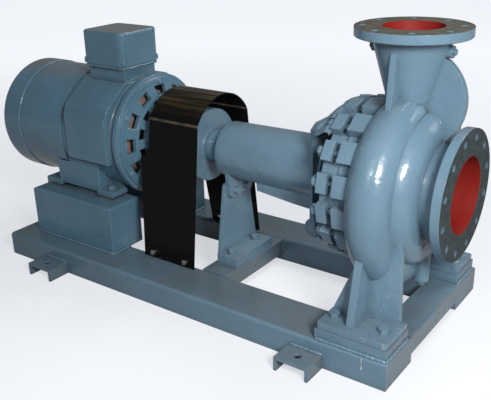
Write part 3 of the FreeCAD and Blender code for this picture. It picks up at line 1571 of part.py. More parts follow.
def motor_frame():
    """Cast frame: a tube with flat cheeks, raised side covers, feet and a neck on top."""
    pieces = [disc(motor_frame_x, shield_back_x, motor_frame_radius)]
    x0 = shield_back_x - motor_cheek_length
    x1 = shield_back_x - 4
    cheek = motor_panel_y - 6
    pieces.append(plate_across(x0, x1, [
        (-cheek, -60), (-cheek, 94), ("arc", (-cheek + 7, 111), (-cheek + 22, 122)), (-96, 178), (96, 178),
        (cheek - 22, 122), ("arc", (cheek - 7, 111), (cheek, 94)), (cheek, -60)]))
    panel = box(x0 + 2, x1 - 6, -motor_panel_y, motor_panel_y, -64, 90)
    upright = [edge for edge in panel.Edges if abs(edge.tangentAt(edge.FirstParameter).x) > 0.9]
    pieces.append(panel.makeFillet(5, upright))
    neck_x = terminal_box_x
    half_x = terminal_box_length / 2 - 12
    half_y = terminal_box_width / 2 - 14
    pieces.append(box(neck_x - half_x, neck_x + half_x, terminal_box_y - half_y, terminal_box_y + half_y,
                      terminal_box_base_z - terminal_neck_height, terminal_box_base_z))
    for piece in motor_foot():
        pieces.extend(both_sides(piece))
    body = pieces[0]
    for piece in pieces[1:]:
        body = body.fuse(piece)
    tools = [disc(motor_frame_x - 1, shield_back_x + 1, motor_frame_bore)]
    tools.append(disc(shroud_x, motor_frame_x, motor_frame_radius + 2 * shroud_sheet))
    tools.append(box(neck_x - half_x + 14, neck_x + half_x - 14, terminal_box_y - half_y + 14,
                     terminal_box_y + half_y - 14, motor_frame_bore - 20, terminal_box_base_z + 1))
    for x in (first_foot_x, second_foot_x):
        for side in (-1, 1):
            tools.append(rod(Vector(x, side * motor_foot_half, motor_foot_z - 1), UP,
                             motor_foot_bolt_radius + bolt_gap, motor_foot_thickness + 2))
    for tool in tools:
        body = body.cut(tool)
    return body.removeSplitter()


def radial_slots(x0, x1, inner, outer, width, count, first=0.0):
    half = width / 2
    slot = plate_across(x0, x1, [
        (-half * inner / outer, inner), (half * inner / outer, inner), (half, outer), (-half, outer)])
    return turned_copies(slot, count, first)


def drive_end_shield():
    """Dished bearing shield with two rings of air slots."""
    back = shield_back_x
    seat = motor_bearing_outer + seat_gap
    x0 = drive_motor_bearing_x
    bore = motor_bearing_bore + shaft_gap
    nose = motor_shoulder_x
    ring_r = shield_ring_radius
    face_r = shield_face_radius
    body = turned([
        (back, motor_frame_radius - 18), (back, motor_frame_radius - 2), (back + 16, motor_frame_radius - 2),
        (back + 18, ring_r + 2), (back + 34, ring_r + 2), (back + 38, face_r + 11), (back + 46, face_r + 11),
        (back + 49, face_r - 4), (nose - 21, 86), ("arc", (nose - 17, 79), (nose - 10, 77)), (nose, 75),
        (nose, bore), (x0 + motor_bearing_width + 0.1, bore), (x0 + motor_bearing_width + 0.1, seat),
        (x0, seat), (x0, seat - 5), (x0 - 5, seat - 5), (x0 - 5, 73), (nose - 35, 75),
        (back + 37, face_r - 13), (back + 32, motor_frame_radius - 18)])
    tools = radial_slots(back + 20, nose, outer_slot_low, outer_slot_high, outer_slot_width, shield_slots)
    tools.extend(radial_slots(back + 20, nose, inner_slot_low, inner_slot_high, inner_slot_width,
                              shield_slots, 180.0 / shield_slots))
    return cut_all(body, tools)


def fan_end_shield():
    """Bearing shield at the fan end, hidden by the air shroud."""
    front = motor_frame_x
    seat = motor_bearing_outer + seat_gap
    x0 = fan_motor_bearing_x
    bore = motor_bearing_bore + shaft_gap
    body = turned([
        (front, motor_frame_radius - 18), (front, motor_frame_radius), (front - 13, motor_frame_radius),
        (front - 15, motor_frame_radius - 12), (x0 - 8, 84), (x0 - 8, bore), (x0 - 0.1, bore),
        (x0 - 0.1, seat), (x0 + motor_bearing_width + 1, seat), (x0 + motor_bearing_width + 1, 73),
        (front - 6, motor_frame_radius - 26)])
    return cut_all(body, radial_slots(x0 - 20, front, 96, 140, 34, fan_shield_slots))


def air_shroud():
    outer = motor_frame_radius + seat_gap + shroud_sheet
    return ring(shroud_x, motor_frame_x - seat_gap, outer, motor_frame_radius + seat_gap)


def fan_cover():
    """Domed cover over the fan, with radial air inlets in its end."""
    outer = motor_frame_radius + 2 * (seat_gap + shroud_sheet)
    inner = outer - shroud_sheet
    bend = fan_cover_corner
    slope = bend * (1 - math.sqrt(0.5))
    deep = (bend - shroud_sheet) * math.sqrt(0.5)
    end = motor_end_x
    body = turned([
        (shroud_x + 10, outer), (end + bend, outer),
        ("arc", (end + slope, outer - slope), (end, outer - bend)),
        (end, 0), (end + shroud_sheet, 0), (end + shroud_sheet, outer - bend),
        ("arc", (end + bend - deep, outer - bend + deep), (end + bend, inner)), (shroud_x + 10, inner)])
    return cut_all(body, radial_slots(end - 1, end + 6, 48, 138, 14, cover_slots))


def stator_core():
    half = core_length / 2
    return ring(core_centre_x - half, core_centre_x + half, motor_frame_bore - seat_gap,
                rotor_radius + air_gap)


def stator_windings():
    """Rounded rings of copper windings at both ends of the core."""
    half = core_length / 2
    low = rotor_radius + 9
    high = motor_frame_bore - 13
    bend = 11.0
    rings = []
    for way in (-1, 1):
        x = core_centre_x + way * half
        tip = x + way * winding_reach
        rings.append(turned([
            (x, low), (x, high), (tip - way * bend, high),
            ("arc", (tip - way * bend * 0.3, high - bend * 0.3), (tip, high - bend)), (tip, low + bend),
            ("arc", (tip - way * bend * 0.3, low + bend * 0.3), (tip - way * bend, low))]))
    return rings


def rotor_core():
    half = core_length / 2
    core = ring(core_centre_x - half, core_centre_x + half, rotor_radius, rotor_shaft_radius + seat_gap)
    ends = []
    for way in (-1, 1):
        x = core_centre_x + way * half
        ends.append(ring(min(x, x + way * 13), max(x, x + way * 13), rotor_radius - 2, rotor_radius - 26))
    return fuse_all([core] + ends)


def motor_shaft():
    left = fan_motor_bearing_x
    body = turned([
        (motor_shaft_end, 0), (motor_shaft_end, motor_shaft_radius - 1.5),
        (motor_shaft_end - 1.5, motor_shaft_radius), (motor_shoulder_x + 1, motor_shaft_radius),
        (motor_shoulder_x + 1, motor_bearing_bore), (drive_motor_bearing_x, motor_bearing_bore),
        (drive_motor_bearing_x, rotor_shaft_radius), (left + motor_bearing_width, rotor_shaft_radius),
        (left + motor_bearing_width, motor_bearing_bore), (left - 9, motor_bearing_bore),
        (left - 9, motor_shaft_radius), (fan_x - 8, motor_shaft_radius), (fan_x - 8, 0)])
    return body.cut(motor_key(0.0))


def cooling_fan():
    root = fan_hub_radius - 1
    hub = ring(fan_x, fan_x + 36, fan_hub_radius, motor_shaft_radius + seat_gap)
    web = turned([(fan_x + 26, root), (fan_x + 31, root), (fan_x + 26, 100), (fan_x + 22, 100)])
    blade = box(fan_x, fan_x + 24, -2, 2, root, fan_radius)
    body = fuse_all([hub, web])
    for copy in turned_copies(blade, fan_blades):
        body = body.fuse(copy)
    return body


def rounded_box(x0, x1, y0, y1, z0, z1, corner, top=0.0):
    body = box(x0, x1, y0, y1, z0, z1)
    upright = [edge for edge in body.Edges if abs(edge.tangentAt(edge.FirstParameter).z) > 0.9]
    body = body.makeFillet(corner, upright)
    if top:
        rim = [edge for edge in body.Edges if edge.BoundBox.ZMin > z1 - 0.01]
        body = body.makeFillet(top, rim)
    return body


def terminal_box_shell(z0, z1, inset, top=0.0):
    centre = terminal_box_x
    half_x = terminal_box_length / 2 - inset
    half_y = terminal_box_width / 2 - inset
    return rounded_box(centre - half_x, centre + half_x, terminal_box_y - half_y, terminal_box_y + half_y,
                       z0, z1, terminal_box_corner - inset, top)


def terminal_box():
    """Open box on the frame's neck; the deep lid slides over its walls."""
    floor = terminal_box_shell(terminal_box_base_z, lid_z - seat_gap, 0)
    wall_top = terminal_box_base_z + terminal_box_height - terminal_lid_height
    wall = terminal_box_shell(terminal_box_base_z, wall_top, terminal_box_wall + 0.5)
    room = terminal_box_shell(lid_z, wall_top + 1, 2 * terminal_box_wall + 0.5)
    body = floor.fuse(wall).cut(room)
    centre = terminal_box_x
    tools = [box(centre - 50, centre + 50, terminal_box_y - 40, terminal_box_y + 40,
                 terminal_box_base_z - 1, lid_z + 1)]
    tools.extend(gland_bores())
    return cut_all(body, tools)


def gland_bores():
    y = terminal_box_y + terminal_box_width / 2
    centre = terminal_box_x
    bores = []
    for way in (-1, 1):
        bores.append(rod(Vector(centre + way * cable_gland_half, y - 30, gland_z), ACROSS,
                         cable_gland_radius + thread_gap, 40))
    return bores


def terminal_box_lid():
    top = terminal_box_base_z + terminal_box_height
    body = terminal_box_shell(lid_z, top, 0, lid_edge_radius)
    room = terminal_box_shell(lid_z - 1, top - terminal_box_wall, terminal_box_wall)
    return cut_all(body.cut(room), gland_bores())


def terminal_block():
    centre = terminal_box_x
    block = box(centre - 62, centre + 62, terminal_box_y - 34, terminal_box_y + 34, lid_z, lid_z + 16)
    pieces = [block]
    for k in (-1, 0, 1):
        for side in (-1, 1):
            pieces.append(rod(Vector(centre + k * 30, terminal_box_y + side * 20, lid_z + 14), UP, 4, 20))
    return fuse_all(pieces)


def cable_glands():
    """A cable gland and a blank plug in the far wall of the terminal box."""
    y = terminal_box_y + terminal_box_width / 2
    centre = terminal_box_x
    radius = cable_gland_radius
    gland_place = Vector(centre - cable_gland_half, y, gland_z)
    bored = fuse_all([rod(gland_place - ACROSS * 14, ACROSS, radius, 16),
                      hexagon(gland_place, ACROSS, 42, 10),
                      rod(gland_place + ACROSS * 10, ACROSS, radius + 1, 14)])
    bored = bored.cut(rod(gland_place - ACROSS * 20, ACROSS, 9, 60))
    plug_place = Vector(centre + cable_gland_half, y, gland_z)
    plug = fuse_all([rod(plug_place - ACROSS * 14, ACROSS, radius, 16), hexagon(plug_place, ACROSS, 38, 8)])
    return [bored, plug]


def motor_foot_bolts():
    bolts = []
    below = motor_shim_z - pedestal_box_wall
    seat_z = motor_foot_z + motor_foot_thickness
    for x in (first_foot_x, second_foot_x):
        for side in (-1, 1):
            y = side * motor_foot_half
            bolt = hex_bolt(Vector(x, y, seat_z), UP, motor_foot_bolt_radius, seat_z - below + 18)
            nut = hexagon(Vector(x, y, below), UP * -1, motor_foot_bolt_radius * 3, 12)
            bolts.append(fuse_all([bolt, nut]))
    return bolts


def build_motor():
    stations = (drive_motor_bearing_x, fan_motor_bearing_x)
    sizes = (motor_bearing_width, motor_ball_radius, motor_bearing_pitch)
    save("motor_frame", [motor_frame()])
    save("drive_end_shield", [drive_end_shield()])
    save("fan_end_shield", [fan_end_shield()])
    save("air_shroud", [air_shroud()])
    save("fan_cover", [fan_cover()])
    save("stator_core", [stator_core()])
    save("stator_windings", stator_windings())
    save("terminal_box", [terminal_box()])
    save("terminal_box_lid", [terminal_box_lid()])
    save("terminal_block", [terminal_block()])
    save("cable_glands", cable_glands())
    save("motor_foot_bolts", motor_foot_bolts())
    save("motor_bearing_outer_rings", [bearing_outer(x, motor_bearing_outer, *sizes) for x in stations])
    save("motor_shaft", [motor_shaft()])
    save("rotor_core", [rotor_core()])
    save("cooling_fan", [cooling_fan()])
    save("motor_coupling_half", [motor_coupling_half()])
    save("motor_key", [motor_key(0.0)])
    save("motor_bearing_inner_rings", [bearing_inner(x, motor_bearing_bore, *sizes) for x in stations])
    balls = []
    for x in stations:
        balls.extend(bearing_balls(x, *sizes))
    save("motor_bearing_balls", balls)


os.makedirs("parts", exist_ok=True)
build_skid()
build_pump()
build_pump_rotor()
build_guard()
build_motor()
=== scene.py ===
# %% [markdown]
# # A pump set on its skid
# This file dresses the model of an end-suction water pump, its motor and their skid for a picture.
# We only add finishes, small trim, a floor, lamps and a camera.

# %% Load the pieces
import bpy
import bmesh
import json
import math
from mathutils import Matrix, Vector


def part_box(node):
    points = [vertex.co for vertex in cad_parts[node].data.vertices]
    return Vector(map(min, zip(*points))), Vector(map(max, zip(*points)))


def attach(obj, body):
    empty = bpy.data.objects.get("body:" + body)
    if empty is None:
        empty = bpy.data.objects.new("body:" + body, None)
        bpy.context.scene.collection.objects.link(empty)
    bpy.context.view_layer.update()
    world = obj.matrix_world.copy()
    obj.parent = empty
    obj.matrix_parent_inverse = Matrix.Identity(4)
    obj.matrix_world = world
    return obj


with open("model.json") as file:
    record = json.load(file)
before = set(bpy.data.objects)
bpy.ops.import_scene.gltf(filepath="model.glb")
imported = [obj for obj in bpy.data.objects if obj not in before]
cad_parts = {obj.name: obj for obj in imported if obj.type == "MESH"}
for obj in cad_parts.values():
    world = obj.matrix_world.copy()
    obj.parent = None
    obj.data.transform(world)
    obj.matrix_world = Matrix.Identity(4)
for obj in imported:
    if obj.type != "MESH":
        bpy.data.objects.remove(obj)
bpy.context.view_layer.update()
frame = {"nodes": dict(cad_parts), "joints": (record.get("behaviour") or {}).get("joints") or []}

# %% [markdown]
# ## Where things are
# The shaft line is the one line that most of the set is built round, so its height is worth a name.
# The two pipe flanges meet over one point of it. All other places come from the pieces' own boxes.

# %% Name the main places
suction_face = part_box("volute_casing")[1].x
discharge_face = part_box("volute_casing")[1].z
shaft_height = frame["joints"][0]["pos_m"][2]
discharge_x = 0.620
suction_bore = 0.100
discharge_bore = 0.075
skid_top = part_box("front_rail")[1].z
print("shaft height", round(shaft_height, 3), "suction face at", round(suction_face, 3))

# %% [markdown]
# ## The camera
# The picture was taken from the suction side, a little above the discharge flange. A camera that was
# fitted to the bolt circles of both flanges and to the skid's edges gives the three turns below.
# Yaw turns it round the set, pitch tips it down, and roll is the small lean of a hand-held camera.

# %% Set up the camera
camera_place = Vector((1.33022, -1.67302, 1.10301))
camera_yaw = math.radians(36.1307)
camera_pitch = math.radians(22.15)
camera_roll = math.radians(-1.4262)
camera_lens = 53.51

towards_camera = Vector((math.sin(camera_yaw) * math.cos(camera_pitch),
                         -math.cos(camera_yaw) * math.cos(camera_pitch), math.sin(camera_pitch)))
level_right = Vector((math.cos(camera_yaw), math.sin(camera_yaw), 0))
level_up = towards_camera.cross(level_right)
image_right = level_right * math.cos(camera_roll) + level_up * math.sin(camera_roll)
image_up = level_up * math.cos(camera_roll) - level_right * math.sin(camera_roll)

camera_data = bpy.data.cameras.new("camera")
camera_data.lens = camera_lens
camera_data.sensor_width = 36.0
camera_data.sensor_fit = "HORIZONTAL"
camera = bpy.data.objects.new("camera", camera_data)
camera.matrix_world = Matrix.Translation(camera_place) @ Matrix(
    (image_right, image_up, towards_camera)).transposed().to_4x4()
bpy.context.scene.collection.objects.link(camera)
bpy.context.scene.camera = camera
bpy.context.scene.view_settings.view_transform = "Standard"
print("camera", round((camera_place - Vector((discharge_x, 0, shaft_height))).length, 2), "m from the casing")

# %% [markdown]
# ## Node helpers
# A finish is a small graph of nodes. Three helpers keep the graphs short to read: one starts a
# material, one adds a node with its settings, and one joins a value or another node to a socket.

# %% Helpers for finishes
def add_node(tree, kind, **settings):
    node = tree.nodes.new("ShaderNode" + kind)
    for key, value in settings.items():
        setattr(node, key, value)
    return node


def feed(tree, target, socket, source):
    """Join a socket to another node's output, or set it to a plain value."""
    if isinstance(source, bpy.types.NodeSocket):
        tree.links.new(source, target.inputs[socket])
    else:
        target.inputs[socket].default_value = source


def new_finish(name):
    material = bpy.data.materials.new(name)
    material.use_nodes = True
    tree = material.node_tree
    shader = tree.nodes["Principled BSDF"]
    return material, tree, shader


def place_on_piece(tree):
    """Position on the piece at rest, in metres."""
    return add_node(tree, "TexCoord").outputs["Object"]


def clouds(tree, place, scale, detail=2.0, roughness=0.5):
    noise = add_node(tree, "TexNoise")
    feed(tree, noise, "Vector", place)
    feed(tree, noise, "Scale", scale)
    feed(tree, noise, "Detail", detail)
    feed(tree, noise, "Roughness", roughness)
    return noise.outputs["Fac"]


def spread(tree, value, low, high, to_low=0.0, to_high=1.0):
    """Stretch a value from one range to another and stop at its ends."""
    node = add_node(tree, "MapRange")
    feed(tree, node, "Value", value)
    feed(tree, node, "From Min", low)
    feed(tree, node, "From Max", high)
    feed(tree, node, "To Min", to_low)
    feed(tree, node, "To Max", to_high)
    return node.outputs["Result"]


def blend_colours(tree, share, first, second):
    node = add_node(tree, "Mix", data_type="RGBA")
    feed(tree, node, 0, share)
    for socket, colour in ((6, first), (7, second)):
        if isinstance(colour, tuple):
            colour = (*colour, 1.0)
        feed(tree, node, socket, colour)
    return node.outputs[2]


def sums(tree, operation, first, second):
    node = add_node(tree, "Math", operation=operation)
    feed(tree, node, 0, first)
    feed(tree, node, 1, second)
    return node.outputs[0]


def relief(tree, height, depth, strength=1.0, under=None):
    """Bump of a real depth in metres, on top of another normal if one is given."""
    bump = add_node(tree, "Bump")
    feed(tree, bump, "Height", height)
    feed(tree, bump, "Distance", depth)
    feed(tree, bump, "Strength", strength)
    if under is not None:
        feed(tree, bump, "Normal", under)
    return bump.outputs["Normal"]


def softened_edges(tree, radius):
    """A normal that rounds sharp corners as a brush of paint does."""
    node = add_node(tree, "Bevel", samples=4)
    feed(tree, node, "Radius", radius)
    return node.outputs["Normal"]


print("helpers ready")

# %% [markdown]
# ## Enamel
# The castings and the skid wear the same blue-grey gloss enamel. It was brushed and sprayed over
# rough iron, so its gloss follows small bumps, it thins to a lighter tone on edges, and dust lies on
# its level tops. The lighter edges are partly a painted highlight, and painted shade darkens the
# inner corners. Each of these is one mask over two close blues.
# A thin clear coat gives the sharp glints, and the layer below it the broad ones.

# %% Colours of the enamel
enamel_blue = (0.150, 0.250, 0.335)
enamel_deep = (0.122, 0.210, 0.285)
# Lighter blue for the edges: worn paint, and a painted highlight.
edge_wear_and_highlight_blue = (0.270, 0.370, 0.440)
# Colour of the painted shade that darkens the inner corners.
painted_corner_shade = (0.045, 0.052, 0.056)
dust_brown = (0.150, 0.128, 0.095)
primer_red = (0.24, 0.011, 0.007)
corner_shade_share = 0.45
edge_wear_and_highlight_share = 0.55
print("enamel", enamel_blue, "over primer", primer_red)

# %% Wear, dust, painted highlight and painted shade
def corner_shade(tree, colour, reach):
    """Painted shade: darkens the colour where surfaces meet, by ambient occlusion."""
    corner = add_node(tree, "AmbientOcclusion", samples=6)
    feed(tree, corner, "Distance", reach)
    shade = spread(tree, corner.outputs["AO"], 0.25, 0.85, corner_shade_share, 0.0)
    return blend_colours(tree, shade, colour, painted_corner_shade)


def settled_dust(tree, colour, place, top_share, end_share):
    """Dust that lies on level tops, and splashes on the faces that look along the shaft."""
    facing = add_node(tree, "SeparateXYZ")
    feed(tree, facing, 0, add_node(tree, "TexCoord").outputs["Normal"])
    patches = spread(tree, clouds(tree, place, 6.0, 5.0, 0.6), 0.36, 0.62, 0.25, 1.0)
    for axis, share in (("Z", top_share), ("X", end_share)):
        level = spread(tree, facing.outputs[axis], 0.80, 0.99, 0.0, share)
        colour = blend_colours(tree, sums(tree, "MULTIPLY", level, patches), colour, dust_brown)
    return colour


def worn_and_lit_edges(tree, colour, place, edge_normal):
    """Worn paint and a painted highlight: a lighter tone on the outer edges, where a rounded normal leaves
    the true one.
    """
    turned = add_node(tree, "VectorMath", operation="DOT_PRODUCT")
    feed(tree, turned, 0, edge_normal)
    feed(tree, turned, 1, add_node(tree, "NewGeometry").outputs["Normal"])
    worn_and_lit = spread(tree, turned.outputs["Value"], 0.97, 0.78, 0.0, edge_wear_and_highlight_share)
    rubbed = spread(tree, clouds(tree, place, 30.0, 3.0), 0.35, 0.6, 0.3, 1.0)
    return blend_colours(tree, sums(tree, "MULTIPLY", worn_and_lit, rubbed), colour, edge_wear_and_highlight_blue)


# The corner share is painted shade, and the edge share is worn paint with a painted highlight.
print("grime covers", corner_shade_share, "of a corner, wear", edge_wear_and_highlight_share, "of an edge")

# %% Blue enamel
def enamel(name, grain_depth=0.0001, grain_scale=180.0, edge=0.0025, gloss=0.30, top_dust=0.25,
           end_dust=0.0, main=enamel_blue, deep=enamel_deep, lumps=0.0022):
    """Blue-grey gloss enamel over iron or steel; grain_depth is the roughness of what lies under it."""
    material, tree, shader = new_finish(name)
    place = place_on_piece(tree)
    round_edges = softened_edges(tree, edge)
    colour = blend_colours(tree, spread(tree, clouds(tree, place, 5.0, 3.0), 0.35, 0.68), main, deep)
    colour = settled_dust(tree, colour, place, top_dust, end_dust)
    # Lighter edges: worn paint and a painted highlight.
    colour = worn_and_lit_edges(tree, colour, place, round_edges)
    # Painted shade darkens the inner corners.
    feed(tree, shader, "Base Color", corner_shade(tree, colour, 0.03))
    feed(tree, shader, "Roughness",
         spread(tree, clouds(tree, place, 35.0, 3.0), 0.3, 0.7, gloss - 0.06, gloss + 0.10))
    normal = relief(tree, clouds(tree, place, 26.0, 2.0), lumps, 0.5, round_edges)
    normal = relief(tree, clouds(tree, place, grain_scale, 3.0, 0.5), grain_depth, 1.0, normal)
    feed(tree, shader, "Normal", normal)
    feed(tree, shader, "Specular IOR Level", 0.35)
    feed(tree, shader, "Coat Weight", 0.55)
    feed(tree, shader, "Coat Roughness", 0.07)
    feed(tree, shader, "Coat Normal", normal)
    return material


print("enamel recipe ready")

# %% Painted shade at the motor's end of the skid
motor_end_shade_blue = (0.040, 0.082, 0.108)
shade_starts, shade_full = 0.35, -0.60
most_shade = 0.62


def darken_towards_motor(material):
    """Painted shade: the rails darken towards the motor, where the light is weaker."""
    tree = material.node_tree
    shader = tree.nodes["Principled BSDF"]
    colour = shader.inputs["Base Color"].links[0].from_socket
    along = add_node(tree, "SeparateXYZ")
    feed(tree, along, 0, place_on_piece(tree))
    shaded = spread(tree, along.outputs["X"], shade_starts, shade_full, 0.0, most_shade)
    feed(tree, shader, "Base Color", blend_colours(tree, shaded, colour, motor_end_shade_blue))


print("rails darken from x =", shade_starts, "to", shade_full)

# %% The enamels
cast_enamel = enamel("cast_enamel", 0.0003, 220.0, lumps=0.0045)
skid_enamel = enamel("skid_enamel", top_dust=0.45, end_dust=0.50)
# The rails darken towards the motor: painted shade.
darken_towards_motor(skid_enamel)
plate_enamel = enamel("plate_enamel", top_dust=0.35)
bolt_enamel = enamel("bolt_enamel", edge=0.0008, top_dust=0.10)
# The motor's enamel is a darker copy of the same blue: painted shade for the weaker light at the motor's end.
motor_shaded_blue, motor_shaded_deep = (0.092, 0.188, 0.262), (0.070, 0.150, 0.212)
motor_enamel = enamel("motor_enamel", 0.0002, 220.0, 0.004, 0.28, 0.20, 0.0, motor_shaded_blue, motor_shaded_deep)
sheet_enamel = enamel("sheet_enamel", edge=0.005, gloss=0.22, top_dust=0.60, main=motor_shaded_blue, deep=motor_shaded_deep)
box_enamel = enamel("box_enamel", edge=0.009, gloss=0.24, top_dust=0.95, main=motor_shaded_blue, deep=motor_shaded_deep)
print("enamels:", [m.name for m in bpy.data.materials if m.name.endswith("enamel")])

# %% [markdown]
# ## The casing's own finish
# The flange faces were turned after casting and are nearly bare, so they are dark and finely
# grooved, and the water passages carry red primer. One material can hold all three: rings of
# distance from the two flange axes say where enamel ends and where primer begins.

# %% Enamel with machined faces and primed bores
primed_depth = 0.085
turning_feed = 0.0016
groove_depth = 0.00001
scuff_top = 0.24
scuff_pale = (0.34, 0.41, 0.46)
suction_tints = ((0.016, 0.028, 0.034), (0.050, 0.066, 0.064))
discharge_tints = ((0.040, 0.044, 0.030), (0.100, 0.092, 0.060))
bore_margin = 0.0012
face_margin = 0.0006
coat_share = 0.55
bare_roughness = 0.60


def axis_distance(tree, place, centre, along):
    """Distance of a point from a line through centre along X or Z."""
    shifted = add_node(tree, "VectorMath", operation="SUBTRACT")
    feed(tree, shifted, 0, place)
    feed(tree, shifted, 1, centre)
    flat = add_node(tree, "VectorMath", operation="MULTIPLY")
    feed(tree, flat, 0, shifted.outputs[0])
    feed(tree, flat, 1, (0, 1, 1) if along == "X" else (1, 1, 0))
    length = add_node(tree, "VectorMath", operation="LENGTH")
    feed(tree, length, 0, flat.outputs[0])
    return length.outputs["Value"]


def casing_enamel():
    material = enamel("casing_enamel", 0.0003, 220.0, lumps=0.0045)
    tree = material.node_tree
    shader = tree.nodes["Principled BSDF"]
    colour = shader.inputs["Base Color"].links[0].from_socket
    rough = shader.inputs["Roughness"].links[0].from_socket
    normal = shader.inputs["Normal"].links[0].from_socket
    place = place_on_piece(tree)
    parts = add_node(tree, "SeparateXYZ")
    feed(tree, parts, 0, place)
    low_down = spread(tree, parts.outputs["Z"], scuff_top - 0.06, scuff_top, 1.0, 0.0)
    scratches = add_node(tree, "Mapping")
    feed(tree, scratches, "Vector", place)
    feed(tree, scratches, "Scale", (1.0, 1.0, 0.25))
    scuffs = spread(tree, clouds(tree, scratches.outputs[0], 90.0, 5.0, 0.7), 0.60, 0.70)
    colour = blend_colours(tree, sums(tree, "MULTIPLY", scuffs, low_down), colour, scuff_pale)
    uncoated = 0.0
    for along, centre, bore, face, (dark, light) in (
            ("X", (0, 0, shaft_height), suction_bore, suction_face, suction_tints),
            ("Z", (discharge_x, 0, 0), discharge_bore, discharge_face, discharge_tints)):
        distance = axis_distance(tree, place, centre, along)
        on_face = sums(tree, "GREATER_THAN", parts.outputs[along], face - face_margin)
        inside = sums(tree, "LESS_THAN", distance, bore + bore_margin)
        deep_in = sums(tree, "GREATER_THAN", parts.outputs[along], face - primed_depth)
        primed = sums(tree, "MULTIPLY", inside, deep_in)
        bare = sums(tree, "MAXIMUM", on_face, primed)
        uncoated = sums(tree, "MAXIMUM", uncoated, bare)
        grooves = add_node(tree, "Math", operation="SINE")
        feed(tree, grooves, 0, sums(tree, "MULTIPLY", distance, 2 * math.pi / turning_feed))
        tint = blend_colours(tree, spread(tree, clouds(tree, place, 60.0, 3.0), 0.3, 0.75),
                             dark, light)
        colour = blend_colours(tree, on_face, colour, tint)
        colour = blend_colours(tree, primed, colour, primer_red)
        rough_mix = add_node(tree, "Mix", data_type="FLOAT")
        feed(tree, rough_mix, 0, bare)
        feed(tree, rough_mix, 2, rough)
        feed(tree, rough_mix, 3, bare_roughness)
        rough = rough_mix.outputs[0]
        height = sums(tree, "MULTIPLY", grooves.outputs[0], on_face)
        normal = relief(tree, height, groove_depth, 1.0, normal)
    feed(tree, shader, "Base Color", colour)
    feed(tree, shader, "Roughness", rough)
    feed(tree, shader, "Normal", normal)
    feed(tree, shader, "Coat Weight", spread(tree, uncoated, 0.0, 1.0, coat_share, 0.0))
    feed(tree, shader, "Coat Normal", normal)
    return material


casing_finish = casing_enamel()
print("casing finish ready")

# %% [markdown]
# ## Black guard enamel
# The guard is a bent sheet in black enamel with a deep gloss. Its sheet is smooth, so only long,
# shallow waves and a few scuffs near its foot break up the reflections. A brown film on its upward
# faces is partly dust and partly a painted reflection, and a light line along the bend is a painted
# highlight.

# %% Guard enamel
guard_low, guard_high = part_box("coupling_guard")
guard_bend_z = shaft_height + 0.093
guard_black = (0.0046, 0.0043, 0.0042)
# The scuff colour also paints the highlight along the bend; the film is a painted reflection with some dust.
guard_scuff_and_bend_highlight = (0.12, 0.10, 0.08)
guard_top_reflection_and_dust = (0.090, 0.063, 0.026)


def guard_enamel():
    material, tree, shader = new_finish("guard_enamel")
    place = place_on_piece(tree)
    along = add_node(tree, "SeparateXYZ")
    feed(tree, along, 0, place)
    low_down = spread(tree, along.outputs["Z"], skid_top, skid_top + 0.10, 0.16, 0.0)
    leftwards = spread(tree, along.outputs["X"], guard_low.x, guard_high.x, 0.06, -0.04)
    flecks = sums(tree, "ADD", clouds(tree, place, 160.0, 3.0, 0.7), low_down)
    flecks = sums(tree, "ADD", flecks, leftwards)
    colour = blend_colours(tree, spread(tree, flecks, 0.80, 0.86), guard_black, guard_scuff_and_bend_highlight)
    facing = add_node(tree, "SeparateXYZ")
    feed(tree, facing, 0, add_node(tree, "TexCoord").outputs["Normal"])
    streaks = add_node(tree, "Mapping")
    feed(tree, streaks, "Vector", place)
    feed(tree, streaks, "Scale", (0.6, 14, 3))
    # Brown film on the upward faces: some dust, and a painted reflection.
    reflection_and_dust = sums(tree, "MULTIPLY", spread(tree, facing.outputs["Z"], 0.60, 1.0, 0.0, 0.85),
                spread(tree, clouds(tree, streaks.outputs[0], 6.0, 3.0), 0.40, 0.66, 0.1, 1.0))
    colour = blend_colours(tree, reflection_and_dust, colour, guard_top_reflection_and_dust)
    # A light line along the bend: a painted highlight.
    off_bend = sums(tree, "ABSOLUTE", sums(tree, "SUBTRACT", along.outputs["Z"], guard_bend_z), 0.0)
    bend = spread(tree, off_bend, 0.0015, 0.0050, 1.0, 0.0)
    bend = sums(tree, "MULTIPLY", bend, spread(tree, clouds(tree, place, 25.0, 3.0), 0.35, 0.60, 0.3, 0.9))
    feed(tree, shader, "Base Color", blend_colours(tree, bend, colour, guard_scuff_and_bend_highlight))
    feed(tree, shader, "Roughness", spread(tree, clouds(tree, place, 22.0, 3.0), 0.3, 0.7, 0.16, 0.28))
    feed(tree, shader, "Specular IOR Level", 0.10)
    waves = clouds(tree, place, 11.0, 1.0)
    feed(tree, shader, "Normal", relief(tree, waves, 0.003, 0.5, softened_edges(tree, 0.0008)))
    return material


black_finish = guard_enamel()
print("guard finish ready")

# %% [markdown]
# ## Metals
# Inside and between the painted pieces there is bare metal: ground shafts, zinc-plated studs,
# bronze rings, copper windings and the sheets of the motor's cores. Each gets its colour from the
# metal, and its fine lines from a stretched cloud that runs the way the tool did.

